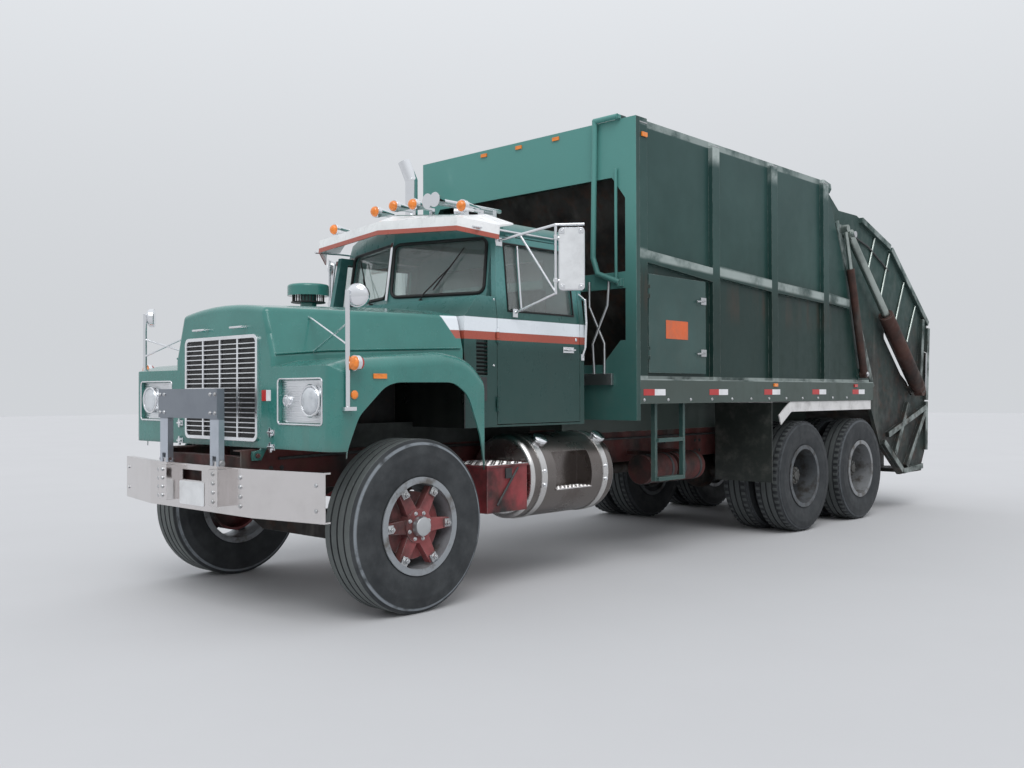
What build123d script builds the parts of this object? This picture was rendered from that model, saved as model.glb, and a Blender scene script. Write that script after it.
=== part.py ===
from build123d import *
import os
from math import atan2, cos, degrees, hypot, radians, sin

os.makedirs("parts", exist_ok=True)

# Conventional-cab rear-loading garbage truck, in millimetres.
# The truck faces -Y, +X is its left side and +Z is up.
# The origin is on the ground below the middle of its length.

# Wheels and axles
FRONT_AXLE_Y = -3750
BOGIE_Y = 1912
BOGIE_SPREAD = 1293
TYRE_R = 542
TYRE_BORE_R = 292
FRONT_TYRE_W = 300
REAR_TYRE_W = 290
FRONT_TYRE_X = 1030
DUAL_OUTER_X = 1075
DUAL_INNER_X = 730
KINGPIN_X = 845
RIM_R = 290
RIM_FLANGE_R = 306
RIM_BORE_R = 266

# Chassis frame
RAIL_OUT_X = 432
RAIL_FLANGE = 87
RAIL_WEB = 9
RAIL_LOW = 750
RAIL_TOP = 1020
RAIL_FRONT_Y = -4564
RAIL_REAR_Y = 2960

# Bumper and its folding guard
BUMPER_Y = -4610
BUMPER_END_Y = -4500
BUMPER_HALF = 1190
BUMPER_LOW = 627
BUMPER_TOP = 918
GUARD_PIVOT = (-4655, 945)
GUARD_POST_IN = 262
GUARD_POST_OUT = 362
GUARD_TOP = 1400

# Hood and fenders
HOOD_FRONT_Y = -4440
HOOD_REAR_Y = -3215
HOOD_LOW = 1031
HOOD_SKIN = 12
FENDER_X = 1195
GRILLE_HALF = 440
GRILLE_LOW = 1070
GRILLE_TOP = 1740
LAMP_Z = 1325
NOSE_ROUND = 40
FENDER_ROUND = 80
FENDER_NOSE_ROUND = 100
CROWN_ROUND = 350
ARCH_ROUND = 200
HOOD_PIVOT = (-4470, 985)

# Cab
CAB_FRONT_Y = -3195
CAB_BACK_Y = -1910
CAB_HALF = 985
CAB_LOW = 1130
BELT_Z = 1900
EAVE_X = 905
EAVE_Z = 2500
CAB_WALL = 45
DOOR_FRONT_Y = -2870
DOOR_BACK_Y = -1965
DOOR_LOW = 1150
DOOR_TOP = 2490
DOOR_GAP = 6
GLASS_T = 6

# Small hinges of the doors, in three knuckles on a pin
HINGE_R = 13
HINGE_PIN_R = 6
HINGE_CLEAR = 5
HINGE_MID = 44
HINGE_END = 28
HINGE_PITCH = 38
DOOR_HINGE = (990, -2872)
DOOR_HINGE_ZS = (1290, 1770)
ACCESS_HINGE = (1226, -1396)
ACCESS_HINGE_ZS = (1680, 2170)

# Packer body
BODY_FRONT_Y = -1520
BODY_TOP = 3530
BODY_FLOOR = 1400
BODY_TOP_REAR_Y = 1790
BODY_WALL_OUT = 1195
BODY_WALL_IN = 1165
BODY_RIB_X = 1235
SILL_LOW = 1280
SILL_TOP = 1475

# Tailgate and packer
TAILGATE_GAP = 13
TAILGATE_IN = 1100
TAILGATE_OUT = 1140
TAILGATE_HINGE = (1870, 3470)
SLIDE_ANCHOR = (2228, 3025)
SLIDE_BASE = (4125, 1390)
SLIDE_X = 1245
SLIDE_ROD_R = 44
SLIDE_BARREL_R = 82
SLIDE_TRAVEL = 950
BLADE_PIVOT = (3950, 1370)
BLADE_REACH = 670
HOPPER_R = 690
LIFT_BASE = (2560, 1560)
LIFT_EYE = (2120, 3080)
LIFT_X = 1248


def finish(piece, label):
    """Names a finished piece and writes it."""
    piece.part.label = label
    export_step(piece.part, "parts/" + label + ".step")


def block(x, y, z, mode=Mode.ADD):
    """A rectangular block between two limits on each axis."""
    with Locations(((x[0] + x[1]) / 2, (y[0] + y[1]) / 2, (z[0] + z[1]) / 2)):
        Box(abs(x[1] - x[0]), abs(y[1] - y[0]), abs(z[1] - z[0]), mode=mode)


def side_plate(outline, x0, x1, mode=Mode.ADD):
    """A plate with an outline of (y, z) corners, from x0 to x1."""
    with BuildSketch(Plane.YZ.offset(x0)) as shape:
        with BuildLine():
            Polyline(*outline, close=True)
        make_face()
    extrude(shape.sketch, amount=x1 - x0, mode=mode)


def cross_plate(outline, y0, y1, mode=Mode.ADD):
    """A plate with an outline of (x, z) corners, from y0 to y1."""
    with BuildSketch(Plane.XZ.offset(-y0)) as shape:
        with BuildLine():
            Polyline(*outline, close=True)
        make_face()
    extrude(shape.sketch, amount=y0 - y1, mode=mode)


def flat_plate(outline, z0, z1, mode=Mode.ADD):
    """A plate with a plan outline of (x, y) corners, from z0 to z1."""
    with BuildSketch(Plane.XY.offset(z0)) as shape:
        with BuildLine():
            Polyline(*outline, close=True)
        make_face()
    extrude(shape.sketch, amount=z1 - z0, mode=mode)


def rod(start, end, radius, mode=Mode.ADD):
    """A round bar between two points."""
    run = Vector(*end) - Vector(*start)
    with BuildSketch(Plane(origin=start, z_dir=run)) as shape:
        Circle(radius)
    extrude(shape.sketch, amount=run.length, mode=mode)


def upright(x, y, z, radius, height, mode=Mode.ADD):
    """A round upright bar or hole, centred at a point."""
    with Locations((x, y, z)):
        Cylinder(radius, height, mode=mode)


def hinge_ends(x, y, z):
    """The fixed half of a small upright hinge: two knuckles on a pin, with room for the moving one."""
    upright(x, y, z, HINGE_R + HINGE_CLEAR, HINGE_MID + 2, mode=Mode.SUBTRACT)
    for end in (-1, 1):
        upright(x, y, z + end * HINGE_PITCH, HINGE_R, HINGE_END)
    upright(x, y, z, HINGE_PIN_R, 2 * HINGE_PITCH + HINGE_END)


def hinge_middle(x, y, z):
    """The moving half of a small upright hinge: one bored knuckle, with room for the fixed ones."""
    for end in (-1, 1):
        upright(x, y, z + end * HINGE_PITCH, HINGE_R + HINGE_CLEAR, HINGE_END + 4, mode=Mode.SUBTRACT)
    upright(x, y, z, HINGE_R, HINGE_MID)
    upright(x, y, z, HINGE_PIN_R + 1, HINGE_MID + 10, mode=Mode.SUBTRACT)


def pipe(points, radius):
    """A bent round pipe through points, with round elbows that swell a little at their welds."""
    swell = 0.8
    for start, end in zip(points, points[1:]):
        rod(start, end, radius)
    for elbow in points[1:-1]:
        with Locations(elbow):
            Sphere(radius + swell)


def turned(outline, centre):
    """A ring turned about an axle along X, from (offset along x, radius) corners."""
    plane = Plane(origin=centre, x_dir=(1, 0, 0), z_dir=(0, -1, 0))
    with BuildSketch(plane) as shape:
        with BuildLine():
            Polyline(*outline, close=True)
        make_face()
    revolve(shape.sketch, axis=Axis(centre, (1, 0, 0)))


def body_edge_y(z):
    """The sloping rear edge of the packer body at a height."""
    return BODY_TOP_REAR_Y + (BODY_TOP - z) / 2


def gate_edge_y(z):
    """The sloping front edge of the tailgate at a height."""
    return body_edge_y(z) + TAILGATE_GAP


def tyre_ring(centre, width):
    """A radial truck tyre with round sidewalls, a flat tread and an open bore."""
    plane = Plane(origin=centre, x_dir=(1, 0, 0), z_dir=(0, -1, 0))
    half = width / 2
    wall_mid = 410
    shoulder_r = 520
    with BuildSketch(plane) as shape:
        with BuildLine():
            for s in (-1, 1):
                bead = (s * half * 0.74, TYRE_BORE_R)
                widest = (s * half, wall_mid)
                shoulder = (s * half * 0.86, shoulder_r)
                tread = (s * half * 0.76, TYRE_R)
                ThreePointArc(bead, (s * half * 0.93, 340), widest)
                ThreePointArc(widest, (s * half * 0.97, 475), shoulder)
                Line(shoulder, tread)
            Line((-half * 0.74, TYRE_BORE_R), (half * 0.74, TYRE_BORE_R))
            Line((-half * 0.76, TYRE_R), (half * 0.76, TYRE_R))
        make_face()
    revolve(shape.sketch, axis=Axis(centre, (1, 0, 0)))


def rim_band(centre, half):
    """A rim with a flange at each edge."""
    lip = 10
    turned(
        [
            (-half, RIM_BORE_R),
            (-half, RIM_FLANGE_R),
            (-half + lip, RIM_FLANGE_R),
            (-half + lip, RIM_R),
            (half - lip, RIM_R),
            (half - lip, RIM_FLANGE_R),
            (half, RIM_FLANGE_R),
            (half, RIM_BORE_R),
        ],
        centre,
    )


def spokes(x0, x1, y, count, root, tip):
    """Radial cast spokes that narrow from the hub to the rim."""
    root_r = 60
    tip_r = RIM_BORE_R + 8
    with BuildSketch(Plane(origin=(x0, y, TYRE_R), x_dir=(0, 1, 0), z_dir=(1, 0, 0))) as shape:
        with PolarLocations(0, count):
            Polygon((root_r, -root / 2), (tip_r, -tip / 2), (tip_r, tip / 2), (root_r, root / 2), align=None)
    extrude(shape.sketch, amount=x1 - x0)


# Chassis frame: two channel rails and the cross members between them
with BuildPart() as frame_rails:
    for s in (-1, 1):
        block((s * (RAIL_OUT_X - RAIL_WEB), s * RAIL_OUT_X), (RAIL_FRONT_Y, RAIL_REAR_Y), (RAIL_LOW, RAIL_TOP))
        for z in (RAIL_LOW, RAIL_TOP - RAIL_WEB):
            block(
                (s * (RAIL_OUT_X - RAIL_FLANGE), s * RAIL_OUT_X),
                (RAIL_FRONT_Y, RAIL_REAR_Y),
                (z, z + RAIL_WEB),
            )
    for y in (-4560, -1800, -300, 900, 1912, 2900):
        block((-RAIL_OUT_X + RAIL_WEB, RAIL_OUT_X - RAIL_WEB), (y, y + 60), (RAIL_LOW + 40, RAIL_TOP - 40))
    for s in (-1, 1):
        rod((s * (RAIL_OUT_X - 5), *HOOD_PIVOT), (s * (RAIL_OUT_X + 48), *HOOD_PIVOT), 14)
finish(frame_rails, "frame_rails")

# Front bumper with swept ends, its brackets and the fixed feet of the guard
with BuildPart() as front_bumper:
    sweep_x = 620
    skin = 10
    front_line = [(0, BUMPER_Y), (sweep_x, BUMPER_Y), (BUMPER_HALF, BUMPER_END_Y)]
    back_line = [(BUMPER_HALF, BUMPER_END_Y + skin), (sweep_x, BUMPER_Y + skin), (0, BUMPER_Y + skin)]
    flat_plate(front_line + back_line, BUMPER_LOW, BUMPER_TOP)
    lip = 45
    lip_line = [(BUMPER_HALF, BUMPER_END_Y + lip), (sweep_x, BUMPER_Y + lip), (0, BUMPER_Y + lip)]
    for z in (BUMPER_LOW, BUMPER_TOP - skin):
        flat_plate(front_line + lip_line, z, z + skin)
    mirror(about=Plane.YZ)
    block((-190, 50), (BUMPER_Y - 20, BUMPER_Y + 20), (815, 880), mode=Mode.SUBTRACT)
    for s in (-1, 1):
        block((s * 345, s * (RAIL_OUT_X - RAIL_WEB)), (BUMPER_Y + 10, -4400), (650, RAIL_LOW))
        block((s * GUARD_POST_IN, s * GUARD_POST_OUT), (GUARD_PIVOT[0] - 30, BUMPER_Y), (680, 905))
        rod(
            (s * (GUARD_POST_IN + 2), GUARD_PIVOT[0], GUARD_PIVOT[1]),
            (s * (GUARD_POST_OUT - 2), GUARD_PIVOT[0], GUARD_PIVOT[1]),
            12,
        )
        block((s * (GUARD_POST_IN + 30), s * (GUARD_POST_OUT - 30)), (GUARD_PIVOT[0] - 12, BUMPER_Y), (900, 945))
finish(front_bumper, "front_bumper")

# Guard above the bumper: two posts and a plate, hinged at their feet
with BuildPart() as bumper_guard:
    pivot_y, pivot_z = GUARD_PIVOT
    for s in (-1, 1):
        for x0, x1 in ((GUARD_POST_IN, GUARD_POST_IN + 27), (GUARD_POST_OUT - 27, GUARD_POST_OUT)):
            block((s * x0, s * x1), (pivot_y - 20, pivot_y + 20), (pivot_z - 20, GUARD_TOP))
        block((s * GUARD_POST_IN, s * GUARD_POST_OUT), (pivot_y - 20, pivot_y - 10), (pivot_z + 40, GUARD_TOP))
    block((-GUARD_POST_OUT, GUARD_POST_OUT), (pivot_y - 32, pivot_y - 20), (1215, GUARD_TOP))
    with Locations(Location((0, pivot_y, pivot_z), (0, 90, 0))):
        Cylinder(13, 2 * GUARD_POST_OUT + 20, mode=Mode.SUBTRACT)
finish(bumper_guard, "bumper_guard")

# Front axle beam with its leaf springs and hangers
SPRING_X = 390
with BuildPart() as front_axle:
    eye_low = TYRE_R - 60
    eye_top = TYRE_R + 60
    beam_outline = [
        (-KINGPIN_X, eye_low),
        (-KINGPIN_X, eye_top),
        (-KINGPIN_X + 45, eye_top),
        (-560, 470),
        (560, 470),
        (KINGPIN_X - 45, eye_top),
        (KINGPIN_X, eye_top),
        (KINGPIN_X, eye_low),
        (KINGPIN_X - 70, eye_low),
        (520, 380),
        (-520, 380),
        (-KINGPIN_X + 70, eye_low),
    ]
    cross_plate(beam_outline, FRONT_AXLE_Y - 40, FRONT_AXLE_Y + 40)
    for s in (-1, 1):
        with Locations((s * KINGPIN_X, FRONT_AXLE_Y, TYRE_R)):
            Cylinder(46, eye_top - eye_low)
    for s in (-1, 1):
        with Locations((s * KINGPIN_X, FRONT_AXLE_Y, TYRE_R)):
            Cylinder(21, eye_top - eye_low, mode=Mode.SUBTRACT)
    spring = [
        (FRONT_AXLE_Y - 600, 700),
        (FRONT_AXLE_Y - 600, 725),
        (FRONT_AXLE_Y - 200, 600),
        (FRONT_AXLE_Y + 200, 600),
        (FRONT_AXLE_Y + 600, 725),
        (FRONT_AXLE_Y + 600, 700),
        (FRONT_AXLE_Y + 350, 580),
        (FRONT_AXLE_Y + 80, 470),
        (FRONT_AXLE_Y - 80, 470),
        (FRONT_AXLE_Y - 350, 580),
    ]
    for s in (-1, 1):
        side_plate(spring, s * (SPRING_X - 42), s * (SPRING_X + 42))
        for end in (-1, 1):
            hanger_y = FRONT_AXLE_Y + end * 600
            block((s * (SPRING_X - 42), s * (SPRING_X + 42)), (hanger_y - 40, hanger_y + 40), (680, RAIL_LOW))
finish(front_axle, "front_axle")

# Rear bogie: two driven axles, camelback springs, trunnions and propeller shafts
with BuildPart() as rear_axles:
    for end in (-1, 1):
        axle_y = BOGIE_Y + end * BOGIE_SPREAD / 2
        rod((-690, axle_y, TYRE_R), (690, axle_y, TYRE_R), 66)
        with Locations((0, axle_y, TYRE_R)):
            Sphere(185)
    camelback = [
        (BOGIE_Y - BOGIE_SPREAD / 2 - 60, 600),
        (BOGIE_Y - BOGIE_SPREAD / 2 - 60, 640),
        (BOGIE_Y - 200, 780),
        (BOGIE_Y + 200, 780),
        (BOGIE_Y + BOGIE_SPREAD / 2 + 60, 640),
        (BOGIE_Y + BOGIE_SPREAD / 2 + 60, 600),
        (BOGIE_Y + 140, 660),
        (BOGIE_Y - 140, 660),
    ]
    for s in (-1, 1):
        side_plate(camelback, s * 450, s * 550)
        side_plate(
            [(BOGIE_Y - 90, 560), (BOGIE_Y - 160, 1000), (BOGIE_Y + 160, 1000), (BOGIE_Y + 90, 560)],
            s * RAIL_OUT_X,
            s * 450,
        )
    shaft_z = 650
    rod((0, -2290, shaft_z), (0, BOGIE_Y + BOGIE_SPREAD / 2, shaft_z), 52)
finish(rear_axles, "rear_axles")

# Engine with its gearbox and the radiator, as plain masses at their real places
with BuildPart() as engine:
    block((-290, 290), (-4200, -3215), (760, 1560))
    rod((0, -3215, 900), (0, -2300, 780), 170)
    block((-395, 395), (-4370, -4290), (RAIL_TOP + 4, 1720))
    block((-60, 60), (-4290, -4200), (1075, 1175))
finish(engine, "engine")

# Hood: a nose that widens towards the cab, with fenders, one skin thick and open below and behind
NOSE = [
    # y, crown z, top corner x, top corner z, shoulder x, shoulder z
    (HOOD_FRONT_Y, 1944, 485, 1905, 590, 1595),
    (HOOD_REAR_Y, 1990, 935, 1893, 990, 1660),
]
FENDER_LINE = [(-4440, 1531), (-4300, 1570), (-3903, 1605), (-3570, 1630), (-3330, 1600), (-3215, 1488)]
ARCH_LINE = [
    (-3215, 880),
    (-3252, 1089),
    (-3362, 1359),
    (-3491, 1437),
    (-3957, 1434),
    (-4051, 1412),
    (-4253, 1235),
    (-4341, HOOD_LOW),
]


def nose_form(skin, low, overrun):
    """The nose of the hood with its rounded corners, drawn inwards by a skin thickness."""
    sections = []
    for y, crown, top_x, top_z, side_x, side_z in NOSE:
        station = y + (skin if y == HOOD_FRONT_Y else overrun)
        with BuildSketch(Plane.XZ.offset(-station)) as section:
            with BuildLine():
                Polyline(
                    (-side_x + skin, low),
                    (-side_x + skin, side_z),
                    (-top_x + skin, top_z - skin),
                )
                ThreePointArc((-top_x + skin, top_z - skin), (0, crown - skin), (top_x - skin, top_z - skin))
                Polyline(
                    (top_x - skin, top_z - skin),
                    (side_x - skin, side_z),
                    (side_x - skin, low),
                    (-side_x + skin, low),
                )
            make_face()
        sections.append(section.sketch)
    face_y = HOOD_FRONT_Y + skin
    with BuildPart(mode=Mode.PRIVATE) as nose:
        loft(sections, ruled=True)
        rim = nose.edges().filter_by(lambda e: abs(e.center().Y - face_y) < 1 and e.center().Z > low + 1)
        crest = nose.edges().filter_by(lambda e: face_y + 5 < e.center().Y < HOOD_REAR_Y - 5 and e.center().Z > 1700)
        fillet(rim + crest, NOSE_ROUND - skin)
    return nose.part


def fender_form(skin, low):
    """Both fenders as one rounded block across the truck, drawn inwards by a skin thickness."""
    front = HOOD_FRONT_Y + skin
    rear = HOOD_REAR_Y + skin * 2
    reach = FENDER_X - skin
    top = [(y, z - skin) for y, z in FENDER_LINE]
    top[0] = (front, top[0][1])
    top[-1] = (rear, top[-1][1])
    with BuildPart(mode=Mode.PRIVATE) as fender:
        with BuildSketch(Plane.YZ.offset(-reach)) as shape:
            with BuildLine():
                Polyline(*top, (rear, low), (front, low), close=True)
            make_face()
            high = shape.vertices().filter_by(lambda v: v.Y > low + 400)
            fillet(high.filter_by(lambda v: front + 1 < v.X < rear - 1), CROWN_ROUND)
            fillet(high.filter_by(lambda v: v.X < front + 1), FENDER_NOSE_ROUND - skin)
        extrude(shape.sketch, amount=2 * reach)
        sides = fender.edges().filter_by(lambda e: abs(abs(e.center().X) - reach) < 1)
        fillet(sides.filter_by(lambda e: e.center().Z > low + 1 and e.center().Y < rear - 1), FENDER_ROUND - skin)
    return fender.part


INTAKE = (-560, -3360)
with BuildPart() as hood:
    add(nose_form(0, HOOD_LOW, 0))
    add(fender_form(0, 860))
    add(nose_form(HOOD_SKIN, 850, 20), mode=Mode.SUBTRACT)
    add(fender_form(HOOD_SKIN, 850), mode=Mode.SUBTRACT)
    block((-1300, 1300), (-4500, -4341), (840, HOOD_LOW), mode=Mode.SUBTRACT)
    for s in (-1, 1):
        with BuildSketch(Plane.YZ.offset(s * 1050)) as arch:
            with BuildLine():
                Polyline(*ARCH_LINE, (-4341, 500), (-3215, 500), close=True)
            make_face()
            fillet(arch.vertices(), ARCH_ROUND)
        extrude(arch.sketch, amount=s * 200, mode=Mode.SUBTRACT)
    block((-GRILLE_HALF + 12, GRILLE_HALF - 12), (-4460, -4400), (GRILLE_LOW + 12, GRILLE_TOP - 12), mode=Mode.SUBTRACT)
    for s in (-1, 1):
        block((s * 640, s * 1095), (HOOD_FRONT_Y, -4380), (1180, 1460))
        block((s * 652, s * 1083), (HOOD_FRONT_Y - 10, -4400), (1192, 1448), mode=Mode.SUBTRACT)
        arm = [(-4428, 1180), (-4395, 1180), (-4395, 1030), (-4440, 955), (-4500, 955), (-4500, 1012), (-4445, 1020), (-4428, 1045)]
        side_plate(arm, s * 446, s * 462)
        with BuildSketch(Plane.YZ.offset(s * 440)) as barrel:
            with Locations(HOOD_PIVOT):
                Circle(30)
        extrude(barrel.sketch, amount=s * 28)
        rod((s * 420, *HOOD_PIVOT), (s * 500, *HOOD_PIVOT), 15, mode=Mode.SUBTRACT)
    upright(*INTAKE, 2030, 62, 190)
    with Locations((*INTAKE, 1965)):
        Cone(100, 62, 60)
    upright(*INTAKE, 2161, 158, 88)
    cap_rim = hood.edges().filter_by(GeomType.CIRCLE).sort_by(Axis.Z)[-1]
    fillet(cap_rim, 22)
finish(hood, "hood")

# Grille: a frame with rounded corners, three uprights and thin cross bars
with BuildPart() as grille:
    grille_mid = (GRILLE_LOW + GRILLE_TOP) / 2
    grille_tall = GRILLE_TOP - GRILLE_LOW
    with BuildSketch(Plane.XZ.offset(-HOOD_FRONT_Y)) as surround:
        with Locations((0, grille_mid)):
            RectangleRounded(2 * GRILLE_HALF, grille_tall, 45)
            RectangleRounded(2 * GRILLE_HALF - 44, grille_tall - 44, 28, mode=Mode.SUBTRACT)
    extrude(surround.sketch, amount=16)
    for x in (-210, 0, 210):
        block((x - 9, x + 9), (-4454, HOOD_FRONT_Y), (GRILLE_LOW + 22, GRILLE_TOP - 22))
    bar_count = 19
    pitch = (GRILLE_TOP - GRILLE_LOW - 44) / (bar_count + 1)
    for i in range(bar_count):
        z = GRILLE_LOW + 22 + (i + 1) * pitch
        block((-GRILLE_HALF + 22, GRILLE_HALF - 22), (-4452, -4442), (z - 3, z + 3))
finish(grille, "grille")

# Headlights: a ribbed bezel with a round lamp and a small lamp on each side
with BuildPart() as headlights:
    for s in (-1, 1):
        block((s * 653, s * 1082), (-4412, -4400), (1193, 1447))
        rod((s * 967, -4412, LAMP_Z), (s * 967, -4432, LAMP_Z), 92)
        rod((s * 715, -4412, LAMP_Z), (s * 715, -4426, LAMP_Z), 30)
finish(headlights, "headlights")

# Fender mirrors on posts, each with a foot, a round head, a turn lamp and crossed braces to the hood
with BuildPart() as fender_mirrors:
    for s in (-1, 1):
        post = (s * 1212, -4350)
        rod((*post, 1268), (*post, 1962), 14)
        block((s * FENDER_X, s * 1232), (-4378, -4300), (1268, 1290))
        rod((*post, 1935), (s * 1226, -4295, 1935), 8)
        rod((s * 1236, -4300, 1935), (s * 1218, -4276, 1935), 66)
        rod((*post, 1772), (s * 640, -4186, 1622), 7)
        rod((*post, 1646), (s * 580, -4174, 1857), 7)
        rod((*post, 1543), (s * 1238, -4318, 1543), 11)
        rod((s * 1240, -4325, 1543), (s * 1240, -4298, 1543), 46)
    add(hood.part, mode=Mode.SUBTRACT)
finish(fender_mirrors, "fender_mirrors")

# Cab
ROOF_EAVE = (860, 2600)
ROOF_CROWN = 2725


def cab_section(wall):
    """The cross section of the cab, drawn inwards by a wall thickness."""
    return [
        (CAB_HALF - wall, CAB_LOW + wall),
        (CAB_HALF - wall, BELT_Z),
        (EAVE_X - wall, EAVE_Z),
        (ROOF_EAVE[0] - wall, ROOF_EAVE[1] - wall),
        (500, 2690 - wall),
        (0, ROOF_CROWN - wall),
    ]


def cab_solid(wall):
    """The outer or inner form of the cab, made inside the part that calls it."""
    right = cab_section(wall)
    left = [(-x, z) for x, z in reversed(right[:-1])]
    cross_plate(right + left, CAB_FRONT_Y + wall, CAB_BACK_Y - wall)
    lean = 66 / 452
    screen_low = 2042
    low, high = 1890 - wall * 0.6, 2900
    side_plate(
        [
            (CAB_FRONT_Y - 50, low),
            (CAB_FRONT_Y + wall, low),
            (-3045 + wall, screen_low - wall * 0.6),
            (-3045 + wall + (high - screen_low) * lean, high),
            (CAB_FRONT_Y - 50, high),
        ],
        -1000,
        1000,
        mode=Mode.SUBTRACT,
    )
    for s in (-1, 1):
        levels = []
        for z in (screen_low - wall * 0.6, high):
            shift = wall + (z - screen_low) * lean
            with BuildSketch(Plane.XY.offset(z)) as level:
                with BuildLine():
                    Polyline(
                        (0, -3045 + shift),
                        (s * 1000, -2735 + shift),
                        (s * 1000, -3300),
                        (0, -3300),
                        close=True,
                    )
                make_face()
            levels.append(level.sketch)
        loft(levels, ruled=True, mode=Mode.SUBTRACT)


def screen_plane(side):
    """The plane of one windshield pane, with its origin at the foot of the centre post."""
    along = Vector(1000, side * 310, 0).normalized()
    up = Vector(0, 66, 452).normalized()
    return Plane(origin=(0, -3045, 2042), x_dir=along, z_dir=along.cross(up))


DOOR_LINE = [
    (DOOR_FRONT_Y, DOOR_LOW),
    (DOOR_FRONT_Y, 2000),
    (DOOR_FRONT_Y + 60, DOOR_TOP),
    (DOOR_BACK_Y, DOOR_TOP),
    (DOOR_BACK_Y, DOOR_LOW),
]
DOOR_WINDOW = [(-2760, 1945), (-2740, 2440), (-2030, 2440), (-2030, 1945)]
VENT_BAR = ((-2612, 1940), (-2590, 2445))
COWL_VENT = [(-3080, 1490), (-3080, 1735), (-2968, 1735), (-2968, 1490)]
DOOR_HOLE = [
    (DOOR_FRONT_Y - DOOR_GAP, DOOR_LOW - DOOR_GAP),
    (DOOR_FRONT_Y - DOOR_GAP, 2000),
    (DOOR_FRONT_Y + 60 - DOOR_GAP, DOOR_TOP + DOOR_GAP),
    (DOOR_BACK_Y + DOOR_GAP, DOOR_TOP + DOOR_GAP),
    (DOOR_BACK_Y + DOOR_GAP, DOOR_LOW - DOOR_GAP),
]

with BuildPart() as cab_shell:
    cab_solid(0)
    with BuildPart(mode=Mode.PRIVATE) as cab_inside:
        cab_solid(CAB_WALL)
    add(cab_inside.part, mode=Mode.SUBTRACT)
    for s in (-1, 1):
        side_plate(DOOR_HOLE, s * 800, s * 1000, mode=Mode.SUBTRACT)
        plane = screen_plane(s)
        with BuildSketch(plane) as pane:
            with Locations((s * 425, 250)):
                RectangleRounded(780, 400, 50)
        extrude(pane.sketch, amount=120, both=True, mode=Mode.SUBTRACT)
        side_plate(COWL_VENT, s * (CAB_HALF - 18), s * (CAB_HALF + 10), mode=Mode.SUBTRACT)
        for z in DOOR_HINGE_ZS:
            hinge_ends(s * DOOR_HINGE[0], DOOR_HINGE[1], z)
    block((-600, 600), (CAB_BACK_Y - 100, CAB_BACK_Y + 10), (2050, 2420), mode=Mode.SUBTRACT)
finish(cab_shell, "cab_shell")

# Grab handles at the rear corners of the cab
with BuildPart() as grab_handles:
    for s in (-1, 1):
        bar = [(940, 2130), (1015, 2075), (1026, 1900), (1015, 1715), (CAB_HALF, 1640)]
        pipe([(s * x, -1934, z) for x, z in bar], 11)
        block((s * CAB_HALF, s * (CAB_HALF + 8)), (-1952, -1916), (1615, 1665))
    add(cab_shell.part, mode=Mode.SUBTRACT)
finish(grab_handles, "grab_handles")

# Doors, their glass and their mirrors
GLASS_SINK = 20
MIRROR_TUBE = (1300, -2610)


def door_face(z):
    """The outer face of the door above the belt line at a height."""
    return CAB_HALF - (CAB_HALF - EAVE_X) * (z - BELT_Z) / (EAVE_Z - BELT_Z)


for name, s in (("left", 1), ("right", -1)):
    with BuildPart() as door:
        outer = cab_section(0)[:3]
        inner = [(x - CAB_WALL, z) for x, z in reversed(outer)]
        wall = [(s * x, z) for x, z in outer + inner]
        cross_plate(wall, DOOR_FRONT_Y, DOOR_BACK_Y)
        with BuildPart(mode=Mode.PRIVATE) as door_form:
            side_plate(DOOR_LINE, s * 800, s * 1000)
        add(door_form.part, mode=Mode.INTERSECT)
        side_plate(DOOR_WINDOW, s * 800, s * 1000, mode=Mode.SUBTRACT)
        vent_foot, vent_top = ((s * (door_face(z) - 9), y, z) for y, z in VENT_BAR)
        rod(vent_foot, vent_top, 8)
        for z in DOOR_HINGE_ZS:
            hinge_middle(s * DOOR_HINGE[0], DOOR_HINGE[1], z)
    finish(door, name + "_door")

    with BuildPart() as door_glass:
        line = [(CAB_HALF - GLASS_SINK, BELT_Z), (EAVE_X - GLASS_SINK, EAVE_Z)]
        line += [(EAVE_X - GLASS_SINK - GLASS_T, EAVE_Z), (CAB_HALF - GLASS_SINK - GLASS_T, BELT_Z)]
        cross_plate([(s * x, z) for x, z in line], DOOR_FRONT_Y, DOOR_BACK_Y)
        with BuildPart(mode=Mode.PRIVATE) as glass_form:
            side_plate(DOOR_WINDOW, s * 800, s * 1000)
        add(glass_form.part, mode=Mode.INTERSECT)
    finish(door_glass, name + "_door_glass")

    with BuildPart() as mirror_arm:
        # The head is turned so that its glass faces the driver
        head = Plane(origin=(s * 1390, -2545, 2300), x_dir=(s * 0.8, 0.6, 0), z_dir=(s * 0.6, -0.8, 0))
        with BuildSketch(head) as head_back:
            RectangleRounded(182, 440, 28)
        extrude(head_back.sketch, amount=-34)
        for z in (2150, 2450):
            rod((s * MIRROR_TUBE[0], MIRROR_TUBE[1], z), (s * 1340, -2570, z), 8)
        for foot_y, foot_z in ((-2790, 2440), (-2700, 1935)):
            low_x, high_x = (door_face(z) for z in (foot_z - 30, foot_z + 30))
            cross_plate(
                [
                    (s * low_x, foot_z - 30),
                    (s * high_x, foot_z + 30),
                    (s * (low_x + 16), foot_z + 30),
                    (s * (low_x + 16), foot_z - 30),
                ],
                foot_y - 25,
                foot_y + 25,
            )
        tube_x, tube_y = MIRROR_TUBE
        tube_low = 2062
        tube_top = 2540
        pipe([(s * 935, -2790, 2450), (s * tube_x, tube_y, tube_top), (s * 1462, -2491, tube_top)], 10)
        rod((s * 1065, -2722, 2482), (s * tube_x, tube_y, tube_low), 9)
        rod((s * 990, -2700, 1935), (s * tube_x, tube_y, tube_low), 9)
        rod((s * tube_x, tube_y, tube_low - 9), (s * tube_x, tube_y, tube_top), 10)
    finish(mirror_arm, name + "_mirror")

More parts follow.
